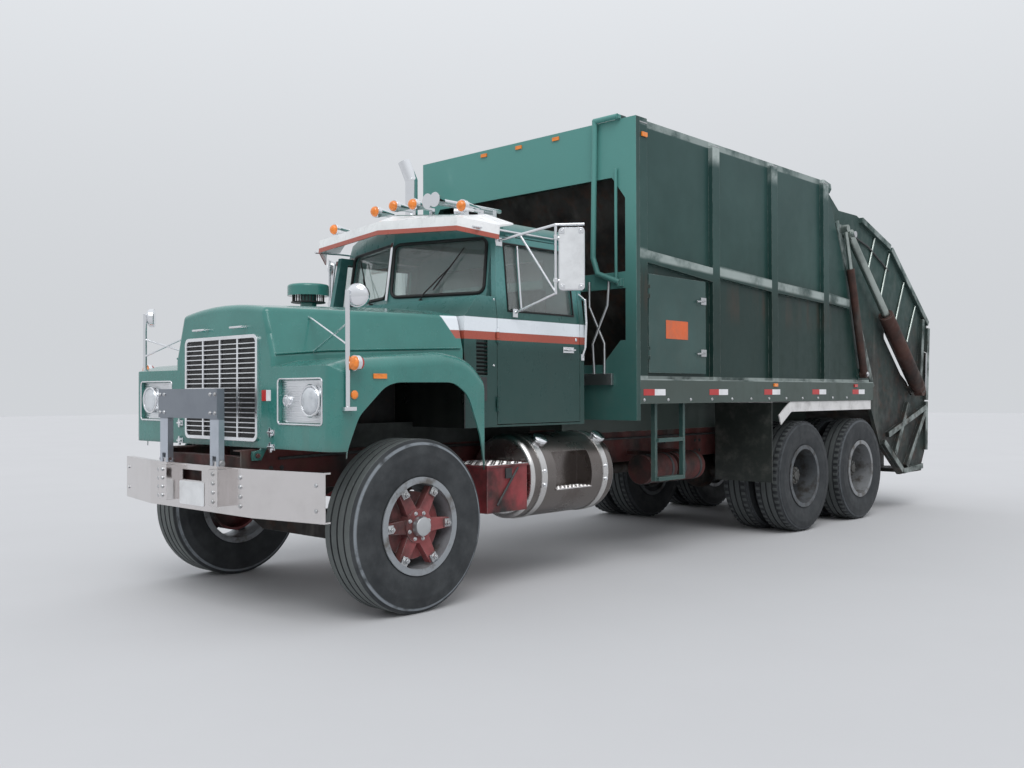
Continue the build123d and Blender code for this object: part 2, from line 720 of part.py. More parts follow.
# Windshield panes and the rear window
with BuildPart() as cab_glass:
    for s in (-1, 1):
        with BuildSketch(screen_plane(s).offset(-20)) as pane:
            with Locations((s * 425, 250)):
                RectangleRounded(779, 399, 49)
        extrude(pane.sketch, amount=-GLASS_T)
    block((-599, 599), (CAB_BACK_Y - 26, CAB_BACK_Y - 20), (2051, 2419))
finish(cab_glass, "cab_glass")

# Sun visor across the top of the windshield, with swept ends
VISOR = [
    # x, front y, front z, rear y, rear z
    (0, -3130, 2640, -2985, 2700),
    (800, -3080, 2590, -2790, 2640),
    (1000, -2870, 2530, -2720, 2560),
]
with BuildPart() as sun_visor:
    for near, far in zip(VISOR, VISOR[1:]):
        levels = []
        for x, front_y, front_z, rear_y, rear_z in (near, far):
            with BuildSketch(Plane.YZ.offset(x)) as level:
                with BuildLine():
                    Polyline(
                        (rear_y, rear_z + 12),
                        (front_y, front_z + 12),
                        (front_y - 8, front_z - 88),
                        (front_y + 4, front_z - 88),
                        (front_y + 12, front_z),
                        (rear_y, rear_z),
                        close=True,
                    )
                make_face()
            levels.append(level.sketch)
        loft(levels, ruled=True)
    mirror(about=Plane.YZ)
finish(sun_visor, "sun_visor")

# Roof lamps in round-nosed housings and a pair of air horns
def roof_z(x):
    """The height of the cab roof at a distance from its middle."""
    if x < 500:
        return ROOF_CROWN - (ROOF_CROWN - 2690) * x / 500
    return 2690 - (2690 - ROOF_EAVE[1]) * (x - 500) / (ROOF_EAVE[0] - 500)


LAMP_RISE = 66
HORN_Z = 2775
with BuildPart() as roof_fittings:
    for x in (-740, -220, 0, 220, 740):
        z = roof_z(abs(x)) + LAMP_RISE
        rod((x, -2970, z), (x, -2940, z), 42)
        with BuildSketch(Plane.XZ.offset(2940)) as lamp_back:
            with Locations((x, z)):
                Circle(40)
        extrude(lamp_back.sketch, amount=-150, taper=12)
        block((x - 16, x + 16), (-2770, -2800), (roof_z(abs(x) - 16), z - 8))
        block((x - 16, x + 16), (-2900, -2770), (z - 26, z - 8))
    for x in (390, 470):
        rod((x, -2900, HORN_Z), (x, -2300, HORN_Z), 16)
        with BuildSketch(Plane.XZ.offset(2900)) as bell:
            with Locations((x, HORN_Z)):
                Circle(18)
        extrude(bell.sketch, amount=90, taper=-22)
    for y in (-2700, -2400):
        block((370, 490), (y, y + 40), (roof_z(370), HORN_Z))
finish(roof_fittings, "roof_fittings")

# Seats, dashboard and steering wheel
with BuildPart() as cab_interior:
    for x in (-480, 480):
        block((x - 240, x + 240), (-2480, -2050), (1350, 1620))
        block((x - 230, x + 230), (-2120, -2010), (1620, 2180))
        block((x - 160, x + 160), (-2420, -2100), (CAB_LOW + CAB_WALL, 1350))
    flat_plate([(-880, -2700), (0, -2975), (880, -2700), (880, -2600), (-880, -2600)], 1550, 1880)
    rod((480, -2620, 1700), (480, -2480, 1840), 30)
    rod((480, -2480, 1840), (480, -2468, 1852), 225)
finish(cab_interior, "cab_interior")

# Exhaust stack behind the right corner of the cab
STACK = (-1140, -1800)
with BuildPart() as exhaust_stack:
    pipe([(*STACK, 1000), (*STACK, 3330), (STACK[0] - 55, STACK[1] - 40, 3510)], 58)
    rod((*STACK, 1500), (*STACK, 2500), 92)
    block((STACK[0], -RAIL_OUT_X), (STACK[1] - 30, STACK[1] + 30), (960, 1040))
finish(exhaust_stack, "exhaust_stack")

# Fuel tank with rounded ends, its straps and the pocket of its step
TANK = (790, 760)
TANK_R = 308
TANK_Y = (-2630, -1670)
TANK_POCKET_Y = (-2370, -1960)
with BuildPart() as fuel_tank:
    rod((TANK[0], TANK_Y[0], TANK[1]), (TANK[0], TANK_Y[1], TANK[1]), TANK_R)
    fillet(fuel_tank.edges().filter_by(GeomType.CIRCLE), 40)
    for y in (TANK_Y[0] + 95, TANK_Y[1] - 155):
        rod((TANK[0], y, TANK[1]), (TANK[0], y + 60, TANK[1]), TANK_R + 6)
        block((RAIL_OUT_X, TANK[0]), (y, y + 60), (TANK[1] - 60, TANK[1] + 60))
    block((950, 1150), TANK_POCKET_Y, (660, 935), mode=Mode.SUBTRACT)
finish(fuel_tank, "fuel_tank")

# Battery box on the left and step box on the right, with their lids
with BuildPart() as battery_box:
    for s in (-1, 1):
        block((s * RAIL_OUT_X, s * 1090), (-3085, -2685), (550, 862))
        block((s * RAIL_OUT_X, s * 1096), (-3091, -2679), (862, 874))
finish(battery_box, "battery_box")

# Air tanks below the left rail
with BuildPart() as air_tanks:
    for y in (-790, -340):
        rod((700, y, 700), (700, y + 390, 700), 130)
        block((RAIL_OUT_X, 700), (y + 170, y + 220), (810, 850))
finish(air_tanks, "air_tanks")

# Ladder under the left sill
with BuildPart() as side_ladder:
    for y in (-1220, -815):
        block((1120, 1160), (y, y + 30), (650, SILL_LOW))
    for z in (650, 965):
        block((1105, 1175), (-1190, -815), (z, z + 30))
finish(side_ladder, "side_ladder")

# Rear fender strips and the mud flaps ahead of the rear wheels
with BuildPart() as rear_fenders:
    for s in (-1, 1):
        side_plate([(720, 1150), (940, 1278), (2780, 1278), (2780, 1180), (960, 1180), (760, 1060)], s * 1213, s * 1225)
        block((s * 930, s * 1225), (940, 2780), (1268, 1278))
        block((s * 600, s * 1212), (600, 610), (520, 1278))
finish(rear_fenders, "rear_fenders")

# Packer body: floor with its sills and cross members
with BuildPart() as body_floor:
    block((-BODY_WALL_OUT, BODY_WALL_OUT), (BODY_FRONT_Y, body_edge_y(BODY_FLOOR)), (BODY_FLOOR - 20, BODY_FLOOR))
    for s in (-1, 1):
        block((s * 1150, s * BODY_RIB_X), (BODY_FRONT_Y, body_edge_y(1475)), (SILL_LOW, BODY_FLOOR - 20))
        block((s * BODY_WALL_OUT, s * BODY_RIB_X), (BODY_FRONT_Y, body_edge_y(1475)), (BODY_FLOOR - 20, SILL_TOP))
        block((s * 345, s * RAIL_OUT_X), (BODY_FRONT_Y, 2840), (RAIL_TOP, SILL_LOW))
    for i in range(9):
        y = -1480 + i * 520
        block((-1150, 1150), (y, y + 60), (SILL_LOW, BODY_FLOOR - 20))
finish(body_floor, "body_floor")

# Packer body: both side walls with their posts and sloping rails
ACCESS_Y = (-1392, -560)
ACCESS_Z = (1525, 2310)
SIDE_RIBS = [
    # front y, its middle z, its half height, rear y, its middle z, its half height
    (-1420, 2445, 48, -455, 2377, 60),
    (-341, 2412, 52, 576, 2361, 56),
    (691, 2355, 53, 1646, 2320, 53),
    (1759, 2327, 53, 2240, 2294, 50),
]
SIDE_LINE = [
    (BODY_FRONT_Y, BODY_FLOOR),
    (BODY_FRONT_Y, 3490),
    (body_edge_y(3490), 3490),
    (body_edge_y(BODY_FLOOR), BODY_FLOOR),
]
with BuildPart() as body_sides:
    for s in (-1, 1):
        side_plate(SIDE_LINE, s * BODY_WALL_IN, s * BODY_WALL_OUT)
        block((s * BODY_WALL_OUT, s * BODY_RIB_X), (BODY_FRONT_Y, -1420), (SILL_TOP, BODY_TOP))
        for y in (-455, 576, 1646):
            block((s * BODY_WALL_OUT, s * BODY_RIB_X), (y, y + 114), (SILL_TOP, BODY_TOP - 40))
        for y0, z0, half0, y1, z1, half1 in SIDE_RIBS:
            side_plate(
                [(y0, z0 - half0), (y0, z0 + half0), (y1, z1 + half1), (y1, z1 - half1)],
                s * BODY_WALL_OUT,
                s * BODY_RIB_X,
            )
        hinge_y, hinge_z = TAILGATE_HINGE
        side_plate(
            [
                (1700, 3490),
                (1740, 3545),
                (hinge_y + 30, hinge_z + 50),
                (hinge_y + 45, hinge_z),
                (hinge_y, hinge_z - 50),
                (1820, 3440),
            ],
            s * BODY_WALL_IN,
            s * BODY_WALL_OUT,
        )
        rod((s * BODY_WALL_OUT, hinge_y, hinge_z), (s * (TAILGATE_IN - 6), hinge_y, hinge_z), 22)
        block((s * BODY_WALL_OUT, s * 1208), (LIFT_BASE[0] - 60, LIFT_BASE[0] + 60), (LIFT_BASE[1] - 60, LIFT_BASE[1] + 60))
        rod((s * 1208, *LIFT_BASE), (s * 1288, *LIFT_BASE), 19)
    block((1150, 1250), (ACCESS_Y[0] + 30, ACCESS_Y[1] - 30), (ACCESS_Z[0] + 30, ACCESS_Z[1] - 30), mode=Mode.SUBTRACT)
    for z in ACCESS_HINGE_ZS:
        for end in (-1, 1):
            leaf_z = z + end * HINGE_PITCH
            block(
                (BODY_WALL_OUT, BODY_RIB_X),
                (-1422, ACCESS_HINGE[1] - 4),
                (leaf_z - HINGE_END / 2, leaf_z + HINGE_END / 2),
            )
        hinge_ends(*ACCESS_HINGE, z)
finish(body_sides, "body_sides")

# Packer body: roof with edge rails
with BuildPart() as body_roof:
    block((-BODY_WALL_OUT, BODY_WALL_OUT), (BODY_FRONT_Y, 1690), (3490, 3510))
    for s in (-1, 1):
        block((s * 1100, s * BODY_WALL_OUT), (BODY_FRONT_Y, 1690), (3510, BODY_TOP))
    for y in (-900, -300, 300, 900, 1500):
        block((-1100, 1100), (y, y + 60), (3510, BODY_TOP))
finish(body_roof, "body_roof")

# Packer body: front frame with header board, cross rail, tank and pipes
with BuildPart() as body_front:
    block((-BODY_RIB_X, BODY_RIB_X), (BODY_FRONT_Y - 50, BODY_FRONT_Y), (3075, BODY_TOP))
    block((-BODY_RIB_X, BODY_RIB_X), (BODY_FRONT_Y - 50, BODY_FRONT_Y), (2190, 2320))
    block((-BODY_RIB_X, BODY_RIB_X), (BODY_FRONT_Y - 50, BODY_FRONT_Y), (1150, 1590))
    for s in (-1, 1):
        block((s * 1130, s * BODY_RIB_X), (BODY_FRONT_Y - 50, BODY_FRONT_Y), (1150, BODY_TOP))
        cross_plate(
            [(s * 1130, 1590), (s * 1130, 1780), (s * 1080, 1780), (s * 900, 1590)],
            BODY_FRONT_Y - 50,
            BODY_FRONT_Y,
        )
        cross_plate(
            [(s * 1130, 3075), (s * 1130, 2900), (s * 1000, 3075)],
            BODY_FRONT_Y - 50,
            BODY_FRONT_Y,
        )
    hose_y = -1597
    pipe(
        [(1080, hose_y, 3545), (852, hose_y, 3545), (830, hose_y, 2450), (875, hose_y, 2320), (1090, hose_y, 2235)],
        22,
    )
    block((1040, 1090), (-1600, -1500), (3530, 3560))
    block((1070, 1110), (-1604, -1560), (2205, 2265))
    rod((1050, -1585, 2245), (1050, -1585, 3140), 12)
finish(body_front, "body_front")

# Side access door of the packer body
with BuildPart() as side_access_door:
    block((BODY_WALL_OUT + 1, 1225), ACCESS_Y, ACCESS_Z)
    block((BODY_WALL_OUT - 10, 1215), (ACCESS_Y[0] + 30, ACCESS_Y[1] - 30), (ACCESS_Z[0] + 30, ACCESS_Z[1] - 30), mode=Mode.SUBTRACT)
    for z in ACCESS_HINGE_ZS:
        hinge_middle(*ACCESS_HINGE, z)
finish(side_access_door, "side_access_door")

# Ejector panel inside the body
EJECTOR_FOOT_Y = -380
with BuildPart() as ejector_panel:
    front_edge = [(EJECTOR_FOOT_Y - (z - 1410) / 2, z) for z in (1410, 3470)]
    side_plate(
        [
            front_edge[0],
            front_edge[1],
            (front_edge[1][0] - 70, 3470),
            (front_edge[0][0] - 70, 1500),
            (-1400, 1500),
            (-1400, 1410),
        ],
        -1155,
        1155,
    )
    block((-1000, 1000), (-1500, EJECTOR_FOOT_Y - 130), (1405, 1560), mode=Mode.SUBTRACT)
finish(ejector_panel, "ejector_panel")

# Directions of the packer's slide in the side view: up along it, and square to it towards the rear
SLIDE_RUN = hypot(SLIDE_BASE[0] - SLIDE_ANCHOR[0], SLIDE_BASE[1] - SLIDE_ANCHOR[1])
UP_SLIDE = ((SLIDE_ANCHOR[0] - SLIDE_BASE[0]) / SLIDE_RUN, (SLIDE_ANCHOR[1] - SLIDE_BASE[1]) / SLIDE_RUN)
OFF_SLIDE = (UP_SLIDE[1], -UP_SLIDE[0])


def on_slide(origin, up, off=0):
    """A (y, z) point at distances up and square to the slide from an origin."""
    return (
        origin[0] + up * UP_SLIDE[0] + off * OFF_SLIDE[0],
        origin[1] + up * UP_SLIDE[1] + off * OFF_SLIDE[1],
    )


def around(centre, radius, angle):
    """A (y, z) point on a circle, with its angle in degrees from +Y towards +Z."""
    return (centre[0] + radius * cos(radians(angle)), centre[1] + radius * sin(radians(angle)))


def side_bar(start, end, half, x0, x1, mode=Mode.ADD):
    """A straight flat bar in the side view between two (y, z) points."""
    length = hypot(end[0] - start[0], end[1] - start[1])
    square = ((start[1] - end[1]) / length * half, (end[0] - start[0]) / length * half)
    side_plate(
        [
            (start[0] + square[0], start[1] + square[1]),
            (end[0] + square[0], end[1] + square[1]),
            (end[0] - square[0], end[1] - square[1]),
            (start[0] - square[0], start[1] - square[1]),
        ],
        x0,
        x1,
        mode,
    )


def disc(centre, radius, x0, x1, mode=Mode.ADD):
    """A round boss or hole along X at a (y, z) centre."""
    with BuildSketch(Plane.YZ.offset(x0)) as shape:
        with Locations(centre):
            Circle(radius)
    extrude(shape.sketch, amount=x1 - x0, mode=mode)


def side_run(start, end, x, radius, mode=Mode.ADD):
    """A round bar in the side view between two (y, z) points."""
    rod((x, *start), (x, *end), radius, mode)


LIP_ANGLE = -32.4
TIP_ANGLE = degrees(atan2(827 - BLADE_PIVOT[1], 3557 - BLADE_PIVOT[0]))
GATE_TOP = 3290
GATE_ROOF = [(2643, 3296), (3477, 3058), (4640, 2200)]
GATE_LINE = [
    (gate_edge_y(GATE_TOP), GATE_TOP),
    *GATE_ROOF,
    (4560, 1270),
    (4540, 640),
    (4400, 430),
    (3780, 400),
    (3216, 780),
    (gate_edge_y(1340), 1340),
    (gate_edge_y(1400), 1400),
]

FLOOR_SKIN = 20
GATE_RIBS = [
    # start y, z and end y, z of each rib in the side view
    ((2700, 3250), (3460, 3030)),
    ((3500, 3010), (4590, 2205)),
    ((4600, 2150), (4525, 1270)),
    ((4520, 1250), (4500, 660)),
    ((3800, 440), (4380, 470)),
    ((3260, 800), (3780, 450)),
    ((3380, 880), (4500, 1180)),
    ((3960, 1230), (3560, 650)),
    ((4480, 1120), (3900, 490)),
    ((4440, 2250), (4330, 1420)),
]

# Tailgate: side plates with their slots and ribs, and the roof
with BuildPart() as tailgate_shell:
    for s in (-1, 1):
        side_plate(GATE_LINE, s * TAILGATE_IN, s * TAILGATE_OUT)
        side_plate(
            [
                (gate_edge_y(GATE_TOP), GATE_TOP - 100),
                (TAILGATE_HINGE[0] - 40, TAILGATE_HINGE[1]),
                (TAILGATE_HINGE[0], TAILGATE_HINGE[1] + 42),
                (TAILGATE_HINGE[0] + 42, TAILGATE_HINGE[1]),
                (2200, GATE_TOP),
                (2200, GATE_TOP - 100),
            ],
            s * TAILGATE_IN,
            s * TAILGATE_OUT,
        )
        disc(TAILGATE_HINGE, 24, s * 1050, s * 1250, mode=Mode.SUBTRACT)
        side_bar(
            on_slide(SLIDE_BASE, 0), on_slide(SLIDE_BASE, SLIDE_TRAVEL), 62, s * 1050, s * 1250, mode=Mode.SUBTRACT
        )
        for reach in (0, SLIDE_TRAVEL):
            disc(on_slide(SLIDE_BASE, reach), 62, s * 1050, s * 1250, mode=Mode.SUBTRACT)
        edge_low = (gate_edge_y(1420) + 45, 1420)
        edge_top = (gate_edge_y(3150) + 45, 3150)
        side_bar(edge_low, edge_top, 38, s * TAILGATE_OUT, s * 1200)
        for start, end in GATE_RIBS:
            side_bar(start, end, 30, s * TAILGATE_OUT, s * 1185)
        disc(SLIDE_ANCHOR, 62, s * TAILGATE_OUT, s * 1160)
        disc(SLIDE_ANCHOR, 26, s * 1160, s * 1305)
        disc(LIFT_EYE, 48, s * TAILGATE_OUT, s * 1200)
    roof_outer = [(gate_edge_y(GATE_TOP), GATE_TOP), *GATE_ROOF]
    roof_inner = [(4610, 2190), (3465, 3035), (2640, 3274), (gate_edge_y(3268), 3268)]
    side_plate(roof_outer + roof_inner, -TAILGATE_IN, TAILGATE_IN)
finish(tailgate_shell, "tailgate_shell")

# Rods of the slide cylinders, with their eyes on the anchor pins
with BuildPart() as slide_rods:
    for s in (-1, 1):
        disc(SLIDE_ANCHOR, 55, s * (SLIDE_X - 32), s * (SLIDE_X + 32))
        side_run(SLIDE_ANCHOR, on_slide(SLIDE_BASE, SLIDE_RUN - 1264), s * SLIDE_X, SLIDE_ROD_R)
        disc(SLIDE_ANCHOR, 27, s * 1150, s * 1310, mode=Mode.SUBTRACT)
finish(slide_rods, "slide_rods")

# Hopper floor with its rear lip
with BuildPart() as hopper_floor:
    with BuildSketch(Plane.YZ.offset(-TAILGATE_IN)) as floor_shape:
        with BuildLine():
            lip = around(BLADE_PIVOT, HOPPER_R, LIP_ANGLE)
            low = around(BLADE_PIVOT, HOPPER_R, -80)
            throat = around(BLADE_PIVOT, HOPPER_R, TIP_ANGLE)
            lip_out = around(BLADE_PIVOT, HOPPER_R + FLOOR_SKIN, LIP_ANGLE)
            low_out = around(BLADE_PIVOT, HOPPER_R + FLOOR_SKIN, -80)
            throat_out = around(BLADE_PIVOT, HOPPER_R + FLOOR_SKIN, TIP_ANGLE)
            ThreePointArc(lip, low, throat)
            throat_run = (throat[0] - gate_edge_y(1395)) / -UP_SLIDE[0]
            sill = on_slide(throat, throat_run)
            Line(throat, sill)
            sill_out = (sill[0], sill[1] - 28)
            Line(sill, sill_out)
            Line(sill_out, throat_out)
            ThreePointArc(throat_out, low_out, lip_out)
            Line(lip_out, lip)
        make_face()
    extrude(floor_shape.sketch, amount=2 * TAILGATE_IN)
    block((-TAILGATE_IN, TAILGATE_IN), (lip[0] + 2, 4555), (880, 1010))
finish(hopper_floor, "hopper_floor")

# Riding steps below the hopper, hung from its floor and its side plates
with BuildPart() as riding_steps:
    for s in (-1, 1):
        block((s * 640, s * TAILGATE_IN), (4080, 4540), (400, 440))
        block((s * 640, s * 660), (4080, 4480), (440, 920))
        disc(BLADE_PIVOT, HOPPER_R + FLOOR_SKIN, s * 600, s * 700, mode=Mode.SUBTRACT)
finish(riding_steps, "riding_steps")

# Packer carriage: a box panel with end cheeks, trunnions and cylinder lugs
LUG_UP = 1000
LUG_OFF = 130
CYLINDER_X = 500
HORN_R = 220
HORN_ANGLE = -15
lug_point = on_slide(BLADE_PIVOT, LUG_UP, LUG_OFF)
horn_point = around(BLADE_PIVOT, HORN_R, HORN_ANGLE)
with BuildPart() as packer_carriage:
    side_bar(on_slide(BLADE_PIVOT, 85), on_slide(BLADE_PIVOT, 1150), 60, -1062, 1062)
    side_bar(on_slide(BLADE_PIVOT, 105), on_slide(BLADE_PIVOT, 1130), 42, -1040, 1040, mode=Mode.SUBTRACT)
    cheek = [(-190, 70), (-190, 190), (-60, 200), (500, 60), (500, -60), (-70, -80), (-95, 0)]
    for s in (-1, 1):
        side_plate([on_slide(BLADE_PIVOT, up, off) for up, off in cheek], s * 1062, s * 1090)
        disc(BLADE_PIVOT, 34, s * 1050, s * 1095, mode=Mode.SUBTRACT)
        disc(SLIDE_BASE, 50, s * 1090, s * 1152)
        disc(SLIDE_BASE, 28, s * 1152, s * 1300)
        for x in (CYLINDER_X - 64, CYLINDER_X + 64):
            side_bar(
                on_slide(BLADE_PIVOT, LUG_UP, 60),
                on_slide(BLADE_PIVOT, LUG_UP, LUG_OFF + 40),
                50,
                s * (x - 10),
                s * (x + 10),
            )
        disc(lug_point, 20, s * (CYLINDER_X - 74), s * (CYLINDER_X + 74))
        horn_room = [on_slide(BLADE_PIVOT, up, off) for up, off in ((80, -28), (180, -28), (180, 75), (80, 75))]
        side_plate(horn_room, s * (CYLINDER_X - 72), s * (CYLINDER_X + 72), mode=Mode.SUBTRACT)
finish(packer_carriage, "packer_carriage")

# Slide cylinder barrels outside the tailgate
with BuildPart() as slide_cylinders:
    for s in (-1, 1):
        disc(SLIDE_BASE, 70, s * (SLIDE_X - 48), s * (SLIDE_X + 48))
        side_run(on_slide(SLIDE_BASE, 20), on_slide(SLIDE_BASE, 1290), s * SLIDE_X, SLIDE_BARREL_R - 8)
        side_run(on_slide(SLIDE_BASE, 90), on_slide(SLIDE_BASE, 1290), s * SLIDE_X, SLIDE_BARREL_R)
        side_run(
            on_slide(SLIDE_BASE, 130), on_slide(SLIDE_BASE, 1300), s * SLIDE_X, SLIDE_ROD_R + 4, mode=Mode.SUBTRACT
        )
        disc(SLIDE_BASE, 29, s * 1150, s * 1340, mode=Mode.SUBTRACT)
finish(slide_cylinders, "slide_cylinders")

# Packer blade with its hub tube and horns
with BuildPart() as packer_blade:
    disc(BLADE_PIVOT, 65, -1050, 1050)
    disc(BLADE_PIVOT, 32, -1088, 1088)
    tip = around(BLADE_PIVOT, BLADE_REACH, TIP_ANGLE)
    side_plate(
        [
            around(BLADE_PIVOT, 60, TIP_ANGLE + 70),
            around(BLADE_PIVOT, 420, TIP_ANGLE + 12),
            around(BLADE_PIVOT, BLADE_REACH, TIP_ANGLE + 2),
            tip,
            around(BLADE_PIVOT, 400, TIP_ANGLE + 2),
            around(BLADE_PIVOT, 60, TIP_ANGLE - 50),
        ],
        -1050,
        1050,
    )
    for s in (-1, 1):
        for x in (CYLINDER_X - 50, CYLINDER_X + 50):
            side_bar(BLADE_PIVOT, around(BLADE_PIVOT, HORN_R + 45, HORN_ANGLE), 45, s * (x - 10), s * (x + 10))
finish(packer_blade, "packer_blade")

# Sweep cylinders between the carriage and the blade's horns
sweep_run = hypot(horn_point[0] - lug_point[0], horn_point[1] - lug_point[1])
SWEEP_DIR = ((horn_point[0] - lug_point[0]) / sweep_run, (horn_point[1] - lug_point[1]) / sweep_run)


def on_sweep(reach):
    """A (y, z) point along the sweep cylinder from its lug."""
    return (lug_point[0] + reach * SWEEP_DIR[0], lug_point[1] + reach * SWEEP_DIR[1])


with BuildPart() as sweep_barrels:
    for s in (-1, 1):
        disc(lug_point, 42, s * (CYLINDER_X - 34), s * (CYLINDER_X + 34))
        side_run(lug_point, on_sweep(700), s * CYLINDER_X, 48)
        side_run(on_sweep(100), on_sweep(710), s * CYLINDER_X, 30, mode=Mode.SUBTRACT)
        disc(lug_point, 21, s * (CYLINDER_X - 60), s * (CYLINDER_X + 60), mode=Mode.SUBTRACT)
finish(sweep_barrels, "sweep_barrels")

with BuildPart() as sweep_rods:
    for s in (-1, 1):
        side_run(on_sweep(640), horn_point, s * CYLINDER_X, 26)
        disc(horn_point, 40, s * (CYLINDER_X - 34), s * (CYLINDER_X + 34))
finish(sweep_rods, "sweep_rods")

# Lift cylinders between the body sides and the tailgate
lift_run = hypot(LIFT_EYE[0] - LIFT_BASE[0], LIFT_EYE[1] - LIFT_BASE[1])
LIFT_DIR = ((LIFT_EYE[0] - LIFT_BASE[0]) / lift_run, (LIFT_EYE[1] - LIFT_BASE[1]) / lift_run)


def on_lift(reach):
    """A (y, z) point along the lift cylinder from its foot."""
    return (LIFT_BASE[0] + reach * LIFT_DIR[0], LIFT_BASE[1] + reach * LIFT_DIR[1])


with BuildPart() as lift_barrels:
    for s in (-1, 1):
        disc(LIFT_BASE, 42, s * 1213, s * 1283)
        side_run(LIFT_BASE, on_lift(1150), s * LIFT_X, 40)
        side_run(on_lift(100), on_lift(1160), s * LIFT_X, 25, mode=Mode.SUBTRACT)
        disc(LIFT_BASE, 21, s * 1200, s * 1300, mode=Mode.SUBTRACT)
finish(lift_barrels, "lift_barrels")

with BuildPart() as lift_rods:
    for s in (-1, 1):
        side_run(on_lift(1050), LIFT_EYE, s * LIFT_X, 22)
        disc(LIFT_EYE, 38, s * 1213, s * 1283)
finish(lift_rods, "lift_rods")

# Steering knuckles, front tyres and cast-spoke front wheels
ARM_Y = FRONT_AXLE_Y + 190
ARM_X = 790
ARM_Z = 419
TIE_ROD_Z = 460
for name, s in (("left", 1), ("right", -1)):
    with BuildPart() as knuckle:
        for z0, z1 in ((TYRE_R - 98, TYRE_R - 65), (TYRE_R + 65, TYRE_R + 98)):
            with Locations((s * KINGPIN_X, FRONT_AXLE_Y, (z0 + z1) / 2)):
                Cylinder(46, z1 - z0)
            block((s * KINGPIN_X, s * 925), (FRONT_AXLE_Y - 46, FRONT_AXLE_Y + 46), (z0, z1))
        with Locations((s * KINGPIN_X, FRONT_AXLE_Y, TYRE_R)):
            Cylinder(20, 196)
        block((s * 897, s * 925), (FRONT_AXLE_Y - 60, FRONT_AXLE_Y + 60), (TYRE_R - 98, TYRE_R + 98))
        rod((s * 925, FRONT_AXLE_Y, TYRE_R), (s * 1010, FRONT_AXLE_Y, TYRE_R), 38)
        rod((s * 875, FRONT_AXLE_Y + 30, ARM_Z + 19), (s * ARM_X, ARM_Y, ARM_Z), 15)
        upright(s * ARM_X, ARM_Y, ARM_Z, 25, 30)
    finish(knuckle, name + "_knuckle")

    centre = (s * FRONT_TYRE_X, FRONT_AXLE_Y, TYRE_R)
    with BuildPart() as front_tyre:
        tyre_ring(centre, FRONT_TYRE_W)
    finish(front_tyre, "front_" + name + "_tyre")

    with BuildPart() as front_wheel:
        rim_band(centre, FRONT_TYRE_W * 0.465)
        hub = [
            (935, 40),
            (935, 100),
            (1065, 100),
            (1065, 212),
            (1085, 212),
            (1085, 112),
            (1150, 105),
            (1155, 62),
            (1195, 55),
            (1198, 0),
            (1015, 0),
            (1015, 40),
        ]
        turned([(s * x, r) for x, r in hub], (0, FRONT_AXLE_Y, TYRE_R))
        drum = [(950, 196), (950, 212), (1070, 212), (1070, 196)]
        turned([(s * x, r) for x, r in drum], (0, FRONT_AXLE_Y, TYRE_R))
        spokes(s * 1085, s * 1140, FRONT_AXLE_Y, 6, 92, 62)
    finish(front_wheel, "front_" + name + "_wheel")

# Tie rod between the steering arms
with BuildPart() as tie_rod:
    rod((-ARM_X, ARM_Y, TIE_ROD_Z), (ARM_X, ARM_Y, TIE_ROD_Z), 11)
    for s in (-1, 1):
        upright(s * ARM_X, ARM_Y, TIE_ROD_Z, 22, 20)
finish(tie_rod, "tie_rod")

# Rear wheels: twin tyres on a pair of rims joined by a spacer band and a deep hub
for axle, end in (("forward", -1), ("rearward", 1)):
    axle_y = BOGIE_Y + end * BOGIE_SPREAD / 2
    for name, s in (("left", 1), ("right", -1)):
        with BuildPart() as twin_tyres:
            for x in (DUAL_INNER_X, DUAL_OUTER_X):
                tyre_ring((s * x, axle_y, TYRE_R), REAR_TYRE_W)
        finish(twin_tyres, axle + "_" + name + "_tyres")

        with BuildPart() as twin_wheel:
            for x in (DUAL_INNER_X, DUAL_OUTER_X):
                rim_band((s * x, axle_y, TYRE_R), REAR_TYRE_W * 0.465)
            band = [(860, RIM_BORE_R), (860, RIM_R), (945, RIM_R), (945, RIM_BORE_R)]
            turned([(s * x, r) for x, r in band], (0, axle_y, TYRE_R))
            hub = [
                (600, 72),
                (600, 110),
                (760, 110),
                (760, 212),
                (776, 212),
                (776, 120),
                (935, 120),
                (940, 95),
                (1105, 85),
                (1110, 0),
                (700, 0),
                (700, 72),
            ]
            turned([(s * x, r) for x, r in hub], (0, axle_y, TYRE_R))
            drum = [(600, 196), (600, 212), (765, 212), (765, 196)]
            turned([(s * x, r) for x, r in drum], (0, axle_y, TYRE_R))
            spokes(s * 872, s * 932, axle_y, 6, 96, 70)
        finish(twin_wheel, axle + "_" + name + "_wheel")
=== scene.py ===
from math import cos, pi, radians, sin

import bmesh
import bpy
from mathutils import Matrix, Vector


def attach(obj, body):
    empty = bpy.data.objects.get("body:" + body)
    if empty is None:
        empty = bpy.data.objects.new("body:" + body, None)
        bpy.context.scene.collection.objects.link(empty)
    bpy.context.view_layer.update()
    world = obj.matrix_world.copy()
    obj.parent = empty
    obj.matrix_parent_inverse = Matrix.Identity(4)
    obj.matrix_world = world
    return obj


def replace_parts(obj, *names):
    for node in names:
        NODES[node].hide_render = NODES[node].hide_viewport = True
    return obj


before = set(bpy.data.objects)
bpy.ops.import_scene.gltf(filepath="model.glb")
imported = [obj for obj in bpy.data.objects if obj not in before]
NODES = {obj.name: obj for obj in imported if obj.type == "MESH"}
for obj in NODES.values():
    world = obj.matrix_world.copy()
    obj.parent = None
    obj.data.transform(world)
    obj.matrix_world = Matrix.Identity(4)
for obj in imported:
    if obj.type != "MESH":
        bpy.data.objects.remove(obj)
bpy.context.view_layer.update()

SIDES = (("left", 1), ("right", -1))
ACROSS = (1, 0, 0)
BACK = (0, 1, 0)
FRONT = (0, -1, 0)
UP = (0, 0, 1)

